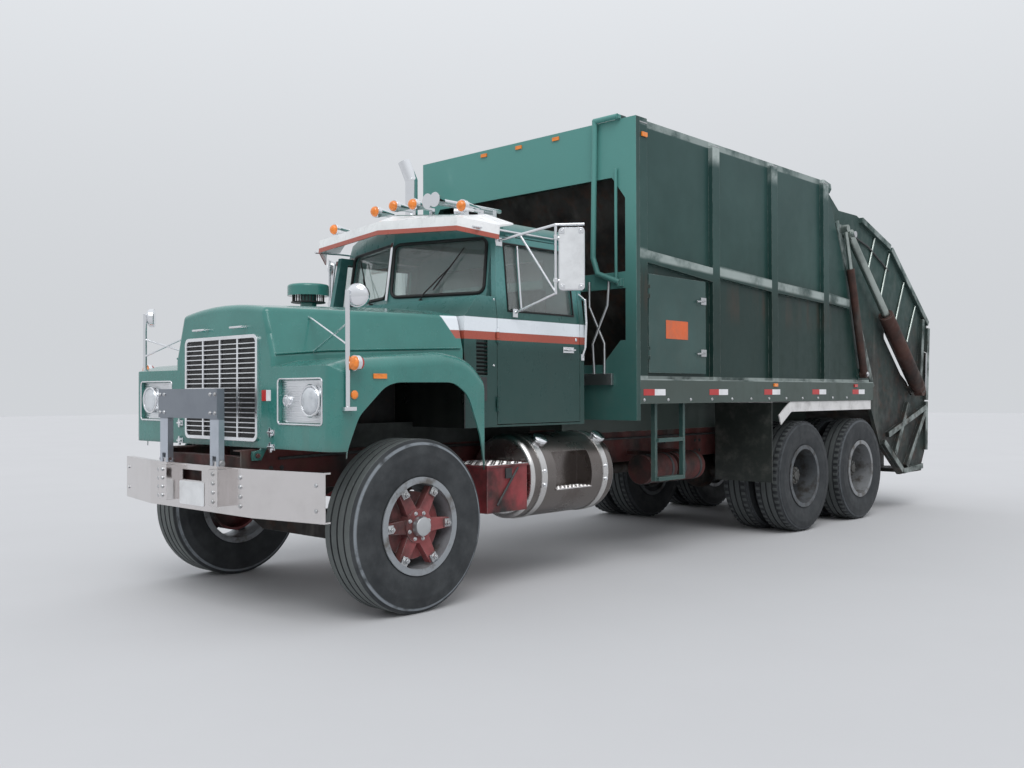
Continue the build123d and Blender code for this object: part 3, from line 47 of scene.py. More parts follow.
# Camera, fitted to the photograph: metres and degrees, with yaw from +Y towards -X
CAMERA_AT = (5.816, -7.899, 1.366)
CAMERA_YAW = 43.025
CAMERA_PITCH = 0.53
CAMERA_ROLL = -0.178
LENS_MM = 35.09
SENSOR_MM = 36.0

# Plain colours, linear
TEAL = (0.026, 0.165, 0.143, 1)
CAB_TEAL = (0.024, 0.090, 0.080, 1)
# Painted shade and painted light for the cab's paint
CAB_SHADE = (0.009, 0.040, 0.035, 1)
CAB_PAINTED_LIGHT = (0.082, 0.235, 0.225, 1)
BODY_GREEN = (0.017, 0.052, 0.046, 1)
# Painted shade on the lower sides of the body
BODY_SHADE = (0.008, 0.024, 0.020, 1)
ACCESS_GREEN = (0.026, 0.066, 0.060, 1)
HEADER_TEAL = (0.100, 0.290, 0.262, 1)
GATE_GREEN = (0.030, 0.078, 0.070, 1)
FRAME_RED = (0.115, 0.026, 0.024, 1)
BOX_RED = (0.330, 0.048, 0.056, 1)
WHEEL_RED = (0.300, 0.076, 0.078, 1)
STRIPE_WHITE = (0.80, 0.84, 0.88, 1)
STRIPE_RED = (0.40, 0.085, 0.055, 1)
DUST = (0.150, 0.145, 0.130, 1)
# Pale dust, also the colour of painted sheen: the highlight along worn edges and the sky's reflection on the
# cab roof
PALE_DUST_AND_SHEEN = (0.36, 0.40, 0.38, 1)
# Pale of the painted highlights on the body's upward faces, and of the tailgate's worn ribs
RAIL_HIGHLIGHT_AND_WEAR = (0.44, 0.50, 0.48, 1)
# Rust, also the brown of the ribs' painted shadow on the body's sides
RUST_AND_SHADOW = (0.085, 0.035, 0.020, 1)
# Grease, also the colour of painted shade inside the hood, its arches and on the cab's front wall
GREASE_AND_SHADE = (0.012, 0.012, 0.011, 1)
BLACK = (0.010, 0.010, 0.010, 1)
FLAP_BLACK = (0.018, 0.023, 0.020, 1)
RUBBER = (0.022, 0.025, 0.028, 1)
RUBBER_DUST = (0.070, 0.076, 0.080, 1)
TYRE_SCUFF = (0.300, 0.330, 0.360, 1)
AMBER = (0.80, 0.22, 0.02, 1)
LENS_RED = (0.50, 0.015, 0.010, 1)
SIGN_ORANGE = (0.72, 0.13, 0.03, 1)

# Places that the frame doesn't give, in metres
AXLES = {"front": -3.750, "forward": 1.2655, "rearward": 2.5585}
AXLE_Z = 0.542
SCREEN_FOOT = Vector((0, -3.045, 2.042))
SCREEN_UP = Vector((0, 0.066, 0.452)).normalized()
BELT_Z = 1.900
CAB_HALF = 0.985
DOOR_LEAN = 0.080 / 0.600
BUMPER_Y = -4.610
LAMP_Z = 1.325
INTAKE_AT = (-0.560, -3.360, 2.072)
INTAKE_R = 0.118
TANK_AT = (0.790, 0.760)
TANK_R = 0.308
STACK_AT = (-1.140, -1.800)
LIP_Y = 4.555
RIB_X = 1.235
POSTS_Y = (-0.455, 0.576, 1.646)
POST_WIDE = 0.114
RIB_SLOPE = 0.0413
RIB_LEVEL = 2.386


class Graph:
    """One material, whose nodes are wired by the names of their inputs."""

    def __init__(self, name):
        self.material = bpy.data.materials.new(name)
        self.material.use_nodes = True
        self.tree = self.material.node_tree
        self.shader = self.tree.nodes["Principled BSDF"]
        self.place = self.add("ShaderNodeTexCoord").outputs["Object"]

    def wire(self, socket, value):
        if isinstance(value, bpy.types.NodeSocket):
            self.tree.links.new(value, socket)
        else:
            socket.default_value = value

    def add(self, kind, settings=None, **inputs):
        node = self.tree.nodes.new(kind)
        for key, value in (settings or {}).items():
            setattr(node, key, value)
        for key, value in inputs.items():
            self.wire(node.inputs[key.replace("_", " ")], value)
        return node

    def math(self, operation, a, b=0.0):
        node = self.add("ShaderNodeMath", {"operation": operation})
        self.wire(node.inputs[0], a)
        self.wire(node.inputs[1], b)
        return node.outputs[0]

    def total(self, *values):
        """The sum of several values."""
        result = values[0]
        for value in values[1:]:
            result = self.math("ADD", result, value)
        return result

    def product(self, *values):
        """The product of several values."""
        result = values[0]
        for value in values[1:]:
            result = self.math("MULTIPLY", result, value)
        return result

    def ramp(self, value, low, high, to_low=0.0, to_high=1.0):
        node = self.add("ShaderNodeMapRange", {"interpolation_type": "SMOOTHSTEP"})
        self.wire(node.inputs["Value"], value)
        limits = ("From Min", low), ("From Max", high), ("To Min", to_low), ("To Max", to_high)
        for key, limit in limits:
            node.inputs[key].default_value = limit
        return node.outputs["Result"]

    def mix(self, share, a, b):
        node = self.add("ShaderNodeMix", {"data_type": "RGBA"})
        self.wire(node.inputs["Factor"], share)
        self.wire(node.inputs[6], a)
        self.wire(node.inputs[7], b)
        return node.outputs[2]

    def noise(self, scale, detail=4.0, roughness=0.6, stretch=(1, 1, 1)):
        place = self.place
        if stretch != (1, 1, 1):
            place = self.add("ShaderNodeMapping", Vector=self.place, Scale=stretch).outputs[0]
        node = self.add("ShaderNodeTexNoise", Vector=place, Scale=scale, Detail=detail, Roughness=roughness)
        return node.outputs["Fac"]

    def along(self, axis):
        return self.add("ShaderNodeSeparateXYZ", Vector=self.place).outputs[axis]

    def between(self, value, low, high, soft=0.002):
        above = self.ramp(value, low - soft, low + soft)
        below = self.ramp(value, high - soft, high + soft, 1.0, 0.0)
        return self.product(above, below)

    def facing(self, axis, low=0.6, high=0.9):
        """1 where the surface faces along an axis."""
        normal = self.add("ShaderNodeNewGeometry").outputs["Normal"]
        part = self.add("ShaderNodeSeparateXYZ", Vector=normal).outputs[axis]
        return self.ramp(part, low, high)

    def rounded_normal(self, radius):
        """The surface's normal as if its edges were rounded."""
        return self.add("ShaderNodeBevel", {"samples": 4}, Radius=radius).outputs[0]

    def edges(self, radius):
        """1 near a convex or concave edge of the surface, and 0 away from it."""
        round_normal = self.rounded_normal(radius)
        flat_normal = self.add("ShaderNodeNewGeometry").outputs["Normal"]
        node = self.add("ShaderNodeVectorMath", {"operation": "DOT_PRODUCT"})
        self.wire(node.inputs[0], round_normal)
        self.wire(node.inputs[1], flat_normal)
        return self.ramp(node.outputs["Value"], 0.80, 0.995, 1.0, 0.0)

    def bump(self, height, strength, distance=0.002, radius=None):
        node = self.add("ShaderNodeBump", Strength=strength, Distance=distance, Height=height)
        if radius:
            self.wire(node.inputs["Normal"], self.rounded_normal(radius))
        self.wire(self.shader.inputs["Normal"], node.outputs[0])

    def set(self, **inputs):
        for key, value in inputs.items():
            self.wire(self.shader.inputs[key.replace("_", " ")], value)
        return self.material


def paint(
    name, colour, dirt=0.35, low=0.9, high=1.9, wear_and_highlight=0.25, gloss=0.30, marks=None, coat=0.25, specular=0.5
):
    """Old gloss paint: faded in patches, dusty low down, streaked and worn along its edges, with a painted
    highlight there.
    """
    g = Graph(name)
    faded = tuple(min(1.0, c * 1.25 + 0.008) for c in colour[:3]) + (1,)
    base = g.mix(g.ramp(g.noise(1.7, 5.0), 0.35, 0.75), colour, faded)
    if marks:
        base = marks(g, base)
    patches = g.ramp(g.noise(6.0, 8.0, 0.7), 0.42, 0.72)
    streaks = g.ramp(g.noise(9.0, 3.0, 0.5, (1, 1, 0.08)), 0.45, 0.75)
    low_dirt = g.ramp(g.along("Z"), low, high, 1.0, 0.12)
    share = g.product(g.total(g.product(patches, 0.6), g.product(streaks, 0.5)), low_dirt)
    base = g.mix(g.product(share, dirt), base, DUST)
    lying = g.facing("Z", 0.8, 0.98)
    base = g.mix(g.product(lying, g.ramp(g.noise(4.0, 5.0), 0.3, 0.7), 0.22), base, PALE_DUST_AND_SHEEN)
    # Pale worn edges, which also stand for a painted highlight along them
    worn_and_highlit = g.product(g.edges(0.006), g.ramp(g.noise(14.0, 3.0), 0.35, 0.60))
    base = g.mix(g.product(worn_and_highlit, wear_and_highlight), base, PALE_DUST_AND_SHEEN)
    chips = g.product(g.ramp(g.noise(22.0, 6.0, 0.75), 0.66, 0.70), low_dirt)
    base = g.mix(g.product(chips, 0.5), base, RUST_AND_SHADOW)
    rough = g.total(g.product(g.noise(11.0, 5.0), 0.22), gloss - 0.11, g.product(share, 0.35))
    g.bump(g.noise(2.4, 2.0), 0.10, 0.010, 0.004)
    g.set(Base_Color=base, Roughness=rough, Coat_Weight=coat, Coat_Roughness=0.12)
    return g.set(Specular_IOR_Level=specular)


def metal(name, colour, gloss=0.25, blotch=0.4, dark=(0.16, 0.15, 0.14, 1), wave=0.05, marks=None):
    """Bare or polished metal with blotches and fine scratches."""
    g = Graph(name)
    spots = g.ramp(g.noise(3.5, 5.0, 0.58), 0.42, 0.80)
    fine = g.noise(60.0, 3.0, 0.6, (0.15, 1, 1))
    base = g.mix(g.product(spots, blotch), colour, dark)
    if marks:
        base = marks(g, base)
    rough = g.total(g.product(spots, 0.16), g.product(fine, 0.06), gloss)
    g.bump(g.noise(3.0, 2.0), wave, 0.010, 0.003)
    return g.set(Base_Color=base, Roughness=rough, Metallic=1.0)


def rusty(name, colour, rust=0.5, gloss=0.55, dust=0.4, marks=None):
    """Working steel: old paint with rust, grease and dust."""
    g = Graph(name)
    base = g.mix(g.ramp(g.noise(2.5, 6.0), 0.35, 0.70), colour, GREASE_AND_SHADE)
    base = g.mix(g.product(g.ramp(g.noise(7.0, 8.0, 0.7), 0.48, 0.66), rust), base, RUST_AND_SHADOW)
    scrape = g.ramp(g.noise(5.0, 5.0, 0.6, (1, 1, 0.15)), 0.50, 0.74)
    base = g.mix(g.product(scrape, dust), base, DUST)
    # Pale worn edges, which also stand for a painted highlight along them
    worn_and_highlit = g.product(g.edges(0.008), g.ramp(g.noise(9.0, 3.0), 0.35, 0.60))
    base = g.mix(g.product(worn_and_highlit, 0.45), base, PALE_DUST_AND_SHEEN)
    shine = 0.15
    if marks:
        base, shine = marks(g, base)
    g.bump(g.noise(30.0, 6.0, 0.7), 0.25, 0.004, 0.004)
    rough = g.ramp(g.noise(8.0, 5.0), 0.3, 0.7, gloss, gloss + 0.3)
    return g.set(Base_Color=base, Roughness=rough, Metallic=shine)


def wheel_radius(g, centre_y):
    """The distance from a wheel's axis."""
    up = g.math("SUBTRACT", g.along("Z"), AXLE_Z)
    back = g.math("SUBTRACT", g.along("Y"), centre_y)
    return g.math("SQRT", g.total(g.product(up, up), g.product(back, back)))


def rubber(name, colour, dust, gloss=0.75, centre_y=None, scuff=0.0):
    """Rubber with road dust in patches, paler on a tyre's tread and where a kerb has scuffed it."""
    g = Graph(name)
    share = g.product(g.ramp(g.noise(5.0, 6.0, 0.65), 0.35, 0.75), dust)
    base = g.mix(share, colour, RUBBER_DUST)
    if centre_y is not None:
        radius = wheel_radius(g, centre_y)
        rings = g.ramp(g.noise(26.0, 2.0, 0.5, (1, 0.05, 0.05)), 0.4, 0.7)
        base = g.mix(g.product(rings, 0.20), base, RUBBER_DUST)
        base = g.mix(g.product(g.ramp(radius, 0.539, 0.541), 0.10 + 0.2 * scuff), base, PALE_DUST_AND_SHEEN)
        scuffed = g.product(g.between(radius, 0.505, 0.521, 0.003), g.ramp(g.noise(7.0, 5.0), 0.25, 0.50))
        base = g.mix(g.product(scuffed, scuff), base, TYRE_SCUFF)
    g.bump(g.noise(120.0, 3.0), 0.15, 0.0006)
    rough = g.ramp(g.noise(9.0, 4.0), 0.3, 0.7, gloss - 0.1, gloss + 0.15)
    return g.set(Base_Color=base, Roughness=rough)


def plain(name, colour, gloss=0.4, metallic=0.0, grain=0.08, coat=0.0, dirt=0.0, marks=None):
    """A moulded or painted finish with a slight mottle."""
    g = Graph(name)
    darker = tuple(c * 0.86 for c in colour[:3]) + (1,)
    base = g.mix(g.ramp(g.noise(8.0, 4.0), 0.35, 0.75), colour, darker)
    if marks:
        base = marks(g, base)
    base = g.mix(g.product(g.ramp(g.noise(7.0, 7.0, 0.7), 0.45, 0.75), dirt), base, DUST)
    g.bump(g.noise(80.0, 3.0), grain, 0.0008, 0.002)
    rough = g.ramp(g.noise(18.0, 4.0), 0.3, 0.7, gloss - 0.05, gloss + 0.08)
    return g.set(Base_Color=base, Roughness=rough, Metallic=metallic, Coat_Weight=coat)


def lens(name, colour, glow=0.0):
    """A moulded lamp lens with fine prisms."""
    g = Graph(name)
    rows = g.add("ShaderNodeTexWave", {"bands_direction": "X"}, Vector=g.place, Scale=60.0).outputs["Fac"]
    g.bump(rows, 0.3, 0.001)
    base = g.mix(g.ramp(g.noise(30.0, 3.0), 0.4, 0.7), colour, tuple(c * 0.7 for c in colour[:3]) + (1,))
    g.set(Base_Color=base, Roughness=0.14, Coat_Weight=0.6, Coat_Roughness=0.05)
    return g.set(Emission_Color=colour, Emission_Strength=glow)


def lamp_glass(name):
    """The fluted glass of a headlight over its bright reflector."""
    g = Graph(name)
    flutes = g.add("ShaderNodeTexWave", {"bands_direction": "X"}, Vector=g.place, Scale=32.0).outputs["Fac"]
    g.bump(flutes, 0.5, 0.002)
    base = g.mix(g.ramp(g.noise(9.0, 3.0), 0.4, 0.7), (0.74, 0.77, 0.80, 1), (0.50, 0.53, 0.56, 1))
    return g.set(Base_Color=base, Roughness=0.10, Metallic=0.55, Coat_Weight=0.8, Coat_Roughness=0.03)


def window_glass(name, tint=(0.80, 0.87, 0.85, 1)):
    """Slightly green window glass with a film of dust."""
    g = Graph(name)
    film = g.ramp(g.noise(3.0, 5.0), 0.4, 0.8, 0.0, 0.03)
    g.set(Base_Color=tint, Roughness=film, IOR=1.5)
    return g.set(Transmission_Weight=0.90)


def cab_stripe(g, base):
    """The white over red stripe along the hood's rear, the cowl and the doors."""
    z, y, x = g.along("Z"), g.along("Y"), g.along("X")
    side = g.ramp(g.math("ABSOLUTE", x), 0.80, 0.83)
    lean = g.math("SUBTRACT", y, g.product(g.math("SUBTRACT", BELT_Z, z), 0.52))
    reach = g.product(side, g.ramp(lean, -3.337, -3.333))
    white = g.product(reach, g.between(z, 1.793, 1.890))
    red = g.product(reach, g.between(z, 1.737, 1.793))
    return g.mix(red, g.mix(white, base, STRIPE_WHITE), STRIPE_RED)


def cab_marks(g, base):
    """The stripe over paint with painted shade low down, painted light higher up, a painted sky reflection on
    the roof and painted shade on the front wall below the hood.
    """
    y, z = g.along("Y"), g.along("Z")
    # Painted shade on the lower doors, painted light on the upper cab and a painted sky reflection on the
    # roof
    base = g.mix(g.ramp(z, 1.65, 1.80, 0.80, 0.0), base, CAB_SHADE)
    base = g.mix(g.ramp(z, 1.92, 2.12), base, CAB_PAINTED_LIGHT)
    base = g.mix(g.ramp(z, 2.52, 2.62, 0.0, 0.60), base, PALE_DUST_AND_SHEEN)
    # Painted shade on the cab's front wall under the hood
    wall = g.product(g.ramp(y, -3.190, -3.180, 1.0, 0.0), g.ramp(z, 1.60, 1.66, 0.92, 0.0))
    return cab_stripe(g, g.mix(wall, base, GREASE_AND_SHADE))


def hood_marks(g, base):
    """The stripe, and painted shade inside the hood and its arches."""
    x, y, z = g.math("ABSOLUTE", g.along("X")), g.along("Y"), g.along("Z")
    base = cab_stripe(g, base)
    # Painted shade along the hood's lower edge and inside its arches
    base = g.mix(g.ramp(z, 1.02, 1.06, 0.35, 0.0), base, GREASE_AND_SHADE)
    under = g.product(g.ramp(x, 1.12, 1.15, 0.92, 0.0), g.ramp(z, 1.42, 1.48, 1.0, 0.0))
    return g.mix(g.product(under, g.ramp(y, -4.32, -4.28)), base, GREASE_AND_SHADE)


def header_marks(g, base):
    """The header board and the front frame are a lighter green than the sides."""
    front = g.ramp(g.along("Y"), -1.569, -1.565, 1.0, 0.0)
    return g.mix(g.product(front, g.ramp(g.along("Z"), 1.6, 3.1, 0.25, 1.0)), base, HEADER_TEAL)


def body_marks(g, base):
    """The sides, with painted light towards the top and painted shade lower down and under the ribs, painted
    highlights on the top faces of the rails, ribs and posts, and rust runs below the ribs that also paint the
    ribs' shadow.
    """
    x, y, z = g.math("ABSOLUTE", g.along("X")), g.along("Y"), g.along("Z")
    # Painted light towards the top of the sides, and painted shade from below the ribs down to the sill
    base = g.mix(g.ramp(z, 2.3, 3.4, 0.0, 0.25), base, (0.060, 0.110, 0.108, 1))
    base = g.mix(g.product(g.ramp(z, 2.20, 2.50, 0.75, 0.0), g.ramp(z, 1.46, 1.48)), base, BODY_SHADE)
    base = g.mix(g.ramp(z, 1.46, 1.48, 0.35, 0.0), base, DUST)
    # Rust runs below the ribs, which also paint the ribs' shadow
    runs = g.ramp(g.noise(7.0, 4.0, 0.6, (1, 1, 0.12)), 0.50, 0.74)
    base = g.mix(g.product(runs, g.between(z, 2.02, 2.33, 0.10), 0.35), base, RUST_AND_SHADOW)
    # Painted highlights on the upward faces: the rib tops, the post tops, the top rail and the sill's top
    # edge
    proud = g.ramp(x, RIB_X - 0.003, RIB_X - 0.001)
    posts = g.total(*(g.between(y, start, start + POST_WIDE) for start in POSTS_Y))
    level = g.total(z, g.product(y, RIB_SLOPE), -RIB_LEVEL)
    ribs = g.product(proud, g.between(level, -0.022, 0.052, 0.014), g.math("SUBTRACT", 1.0, posts), 1.25)
    tops = g.product(posts, g.ramp(z, 3.30, 3.40), g.ramp(x, 1.18, 1.19), 1.5)
    rail = g.total(g.ramp(z, 3.470, 3.480), g.product(g.between(z, 1.466, 1.500, 0.003), 1.1), ribs, tops)
    share = g.math("MINIMUM", g.product(rail, g.ramp(g.noise(3.0, 6.0), 0.30, 0.60), 0.60), 0.85)
    return g.mix(share, base, RAIL_HIGHLIGHT_AND_WEAR)


def guard_marks(g, base):
    """The guard's plate is duller than its posts."""
    return g.mix(g.ramp(g.along("Z"), 1.205, 1.212, 0.0, 0.8), base, (0.20, 0.22, 0.25, 1))


def gate_marks(g, base):
    """The tailgate is greener towards its top, with worn pale ribs."""
    x, z = g.math("ABSOLUTE", g.along("X")), g.along("Z")
    base = g.mix(g.ramp(z, 1.6, 2.7, 0.0, 0.65), base, GATE_GREEN)
    ribs = g.product(g.ramp(x, 1.176, 1.182), g.ramp(g.noise(5.0, 6.0), 0.35, 0.65))
    return g.mix(g.product(ribs, 0.60), base, RAIL_HIGHLIGHT_AND_WEAR), 0.1


def visor_marks(g, base):
    """The red lower edge of the sun visor."""
    z, x = g.along("Z"), g.math("ABSOLUTE", g.along("X"))
    bend = 0.8
    middle = g.product(g.math("MINIMUM", x, bend), 0.0625)
    ends = g.product(g.math("MAXIMUM", g.math("SUBTRACT", x, bend), 0.0), 0.3)
    droop = g.total(z, middle, ends)
    return g.mix(g.ramp(droop, 2.585, 2.588, 1.0, 0.0), base, STRIPE_RED)


def tank_marks(g, base):
    """The brighter straps and end rings of the fuel tank, partly bright metal and partly painted shine, and a
    painted highlight along the tank's top.
    """
    y = g.along("Y")
    straps = g.total(g.between(y, -2.537, -2.473), g.between(y, -1.827, -1.763))
    ends = g.total(g.ramp(y, -2.604, -2.598, 1.0, 0.0), g.ramp(y, -1.702, -1.696))
    # Painted highlight along the tank's top, and painted shine on the straps and end rings
    bright = g.total(straps, ends, g.ramp(g.along("Z"), 0.98, 1.05, 0.0, 0.5))
    return g.mix(g.product(bright, 0.75), base, (0.78, 0.77, 0.76, 1))


def fender_marks(g, base):
    """The mud flaps hang from the pale fender strips."""
    flap = g.product(g.ramp(g.along("Y"), 0.63, 0.64, 1.0, 0.0), g.ramp(g.along("Z"), 1.268, 1.270, 1.0, 0.0))
    return g.mix(flap, base, FLAP_BLACK)


def wheel_marks(centre_y, bare, dull):
    """Marks of a painted wheel whose rim is bare, beyond its spokes."""

    def marks(g, base):
        rim = g.ramp(wheel_radius(g, centre_y), 0.262, 0.266)
        pale = g.mix(g.ramp(g.noise(9.0, 6.0), 0.45, 0.70), bare, dull)
        return g.mix(rim, base, pale), g.product(rim, 0.6)

    return marks


# A paint's numbers are its dirt, the heights up to which that is full and above which it is slight, edge wear
# with its painted highlight and gloss, and after its marks coat and specular level. A metal's are its gloss
# and how blotched it is.
MATERIALS = {
    "teal": paint("teal_paint", TEAL, 0.30, 0.8, 1.7, 0.35, 0.24, hood_marks, coat=0.5),
    "cab_teal": paint("cab_paint", CAB_TEAL, 0.12, 1.0, 1.9, 0.25, 0.28, cab_marks, specular=0.3),
    "body": paint("body_paint", BODY_GREEN, 0.13, 1.2, 3.4, 0.50, 0.36, body_marks, 0.04, 0.2),
    "body_front": paint("front_paint", BODY_GREEN, 0.16, 1.2, 2.6, 0.40, 0.36, header_marks, 0.1, 0.3),
    "access": paint("access_paint", ACCESS_GREEN, 0.25, 1.5, 2.4, 0.60, 0.36, None, 0.1, 0.3),
    "red_frame": rusty("red_frame_paint", FRAME_RED, rust=0.35, dust=0.35),
    "red_box": rusty("red_box_paint", BOX_RED, rust=0.25, gloss=0.4, dust=0.25),
    "under": rusty("underbody", (0.035, 0.028, 0.025, 1), rust=0.5, dust=0.45),
    "engine": rusty("engine_iron", (0.030, 0.030, 0.030, 1), rust=0.3, dust=0.3),
    "polished": metal("polished_aluminium", (0.72, 0.69, 0.68, 1), 0.14, 0.22, (0.42, 0.40, 0.38, 1)),
    "tank": metal(
        "tank_aluminium", (0.20, 0.18, 0.17, 1), 0.20, 0.60, (0.10, 0.08, 0.07, 1), marks=tank_marks
    ),
    "grille": metal("grille_aluminium", (0.92, 0.93, 0.95, 1), 0.25, 0.20),
    "guard": metal(
        "guard_steel", (0.56, 0.60, 0.66, 1), 0.30, 0.45, (0.26, 0.28, 0.31, 1), wave=0.12, marks=guard_marks
    ),
    "chrome": metal("chrome", (0.80, 0.81, 0.83, 1), 0.05, 0.08, wave=0.02),
    "mirror": metal("mirror_glass", (0.86, 0.88, 0.90, 1), 0.0, 0.05, wave=0.0),
    "rod": metal("worn_rod", (0.42, 0.47, 0.44, 1), 0.30, 0.55, (0.14, 0.16, 0.15, 1)),
    "pale_steel": metal("pale_steel", (0.56, 0.57, 0.58, 1), 0.34, 0.45, (0.22, 0.20, 0.18, 1)),
    "fender_strip": plain("fender_strip", (0.70, 0.69, 0.68, 1), gloss=0.45, dirt=0.35, marks=fender_marks),
    "visor": plain("visor_white", (0.90, 0.90, 0.90, 1), gloss=0.30, coat=0.3, dirt=0.06, marks=visor_marks),
    "white": plain("white_enamel", (0.74, 0.75, 0.76, 1), gloss=0.35, dirt=0.15),
    "black": plain("black_trim", BLACK, gloss=0.5),
    "dark_paint": plain("dark_paint", (0.030, 0.032, 0.034, 1), gloss=0.5, dirt=0.4),
    "seat": plain("seat_vinyl", (0.030, 0.024, 0.020, 1), gloss=0.55, grain=0.3),
    "dash": plain("dash_board", (0.045, 0.040, 0.036, 1), gloss=0.6, grain=0.4),
    "tape_white": plain("tape_white", (0.80, 0.80, 0.82, 1), gloss=0.35, dirt=0.2),
    "tape_red": plain("tape_red", (0.50, 0.03, 0.03, 1), gloss=0.35, dirt=0.15),
    "orange": plain("sign_orange", SIGN_ORANGE, gloss=0.45, dirt=0.25),
    "amber": lens("amber_lens", AMBER, 0.12),
    "red_lens": lens("red_lens", LENS_RED, 0.05),
    "lamp_glass": lamp_glass("lamp_glass"),
    "tailgate": rusty("tailgate_paint", (0.026, 0.040, 0.036, 1), rust=0.35, dust=0.40, marks=gate_marks),
    "packer": rusty("packer_steel", (0.060, 0.055, 0.050, 1), rust=0.6, dust=0.5),
    "barrel": rusty("barrel_paint", (0.075, 0.030, 0.022, 1), rust=0.4, dust=0.35),
    "wheel_grey": rusty("fitting_grey_paint", (0.10, 0.10, 0.095, 1), rust=0.35, gloss=0.5, dust=0.35),
    "flap": rubber("flap_rubber", FLAP_BLACK, 0.35),
    "glass": window_glass("window_glass"),
}
WHEEL_FINISHES = {
    # paint, bare rim and its dull patches, dust and scuffs of the tyre; the forward row's dark rim and low
    # dust, and the rearward row's low dust, are painted shade
    "front": (WHEEL_RED, (0.34, 0.36, 0.38, 1), (0.16, 0.15, 0.14, 1), 0.60, 0.70),
    "forward": ((0.045, 0.040, 0.038, 1), (0.14, 0.15, 0.16, 1), (0.07, 0.065, 0.06, 1), 0.10, 0.10),
    "rearward": ((0.045, 0.040, 0.038, 1), (0.30, 0.31, 0.32, 1), (0.12, 0.11, 0.10, 1), 0.25, 0.20),
}
for axle, (colour, bare, dull, dust, scuff) in WHEEL_FINISHES.items():
    marks = wheel_marks(AXLES[axle], bare, dull)
    MATERIALS[axle + "_wheel"] = rusty(axle + "_wheel_paint", colour, 0.30, 0.5, 0.30, marks)
    MATERIALS[axle + "_tyre"] = rubber(axle + "_tyre_rubber", RUBBER, dust, centre_y=AXLES[axle], scuff=scuff)

LOOKS = {
    "teal": ["hood"],
    "cab_teal": ["cab_shell", "left_door", "right_door"],
    "body": ["body_floor", "body_sides", "body_roof"],
    "access": ["side_access_door", "side_ladder"],
    "body_front": ["body_front"],
    "red_frame": ["frame_rails", "air_tanks"],
    "red_box": ["battery_box"],
    "under": ["front_axle", "rear_axles", "left_knuckle", "right_knuckle", "tie_rod"],
    "engine": ["engine"],
    "polished": ["front_bumper"],
    "tank": ["fuel_tank"],
    "grille": ["grille", "headlights"],
    "guard": ["bumper_guard"],
    "chrome": [
        "roof_fittings",
        "exhaust_stack",
        "fender_mirrors",
        "left_mirror",
        "right_mirror",
        "grab_handles",
    ],
    "rod": ["sweep_rods", "lift_rods", "slide_rods"],
    "fender_strip": ["rear_fenders"],
    "visor": ["sun_visor"],
    "seat": ["cab_interior"],
    "tailgate": ["tailgate_shell", "riding_steps"],
    "packer": ["packer_carriage", "packer_blade", "ejector_panel", "hopper_floor"],
    "barrel": ["slide_cylinders", "sweep_barrels", "lift_barrels"],
    "front_wheel": ["front_left_wheel", "front_right_wheel"],
    "forward_wheel": ["forward_left_wheel", "forward_right_wheel"],
    "rearward_wheel": ["rearward_left_wheel", "rearward_right_wheel"],
    "glass": ["cab_glass", "left_door_glass", "right_door_glass"],
}
for look, names in LOOKS.items():
    for name in names:
        NODES[name].data.materials.clear()
        NODES[name].data.materials.append(MATERIALS[look])


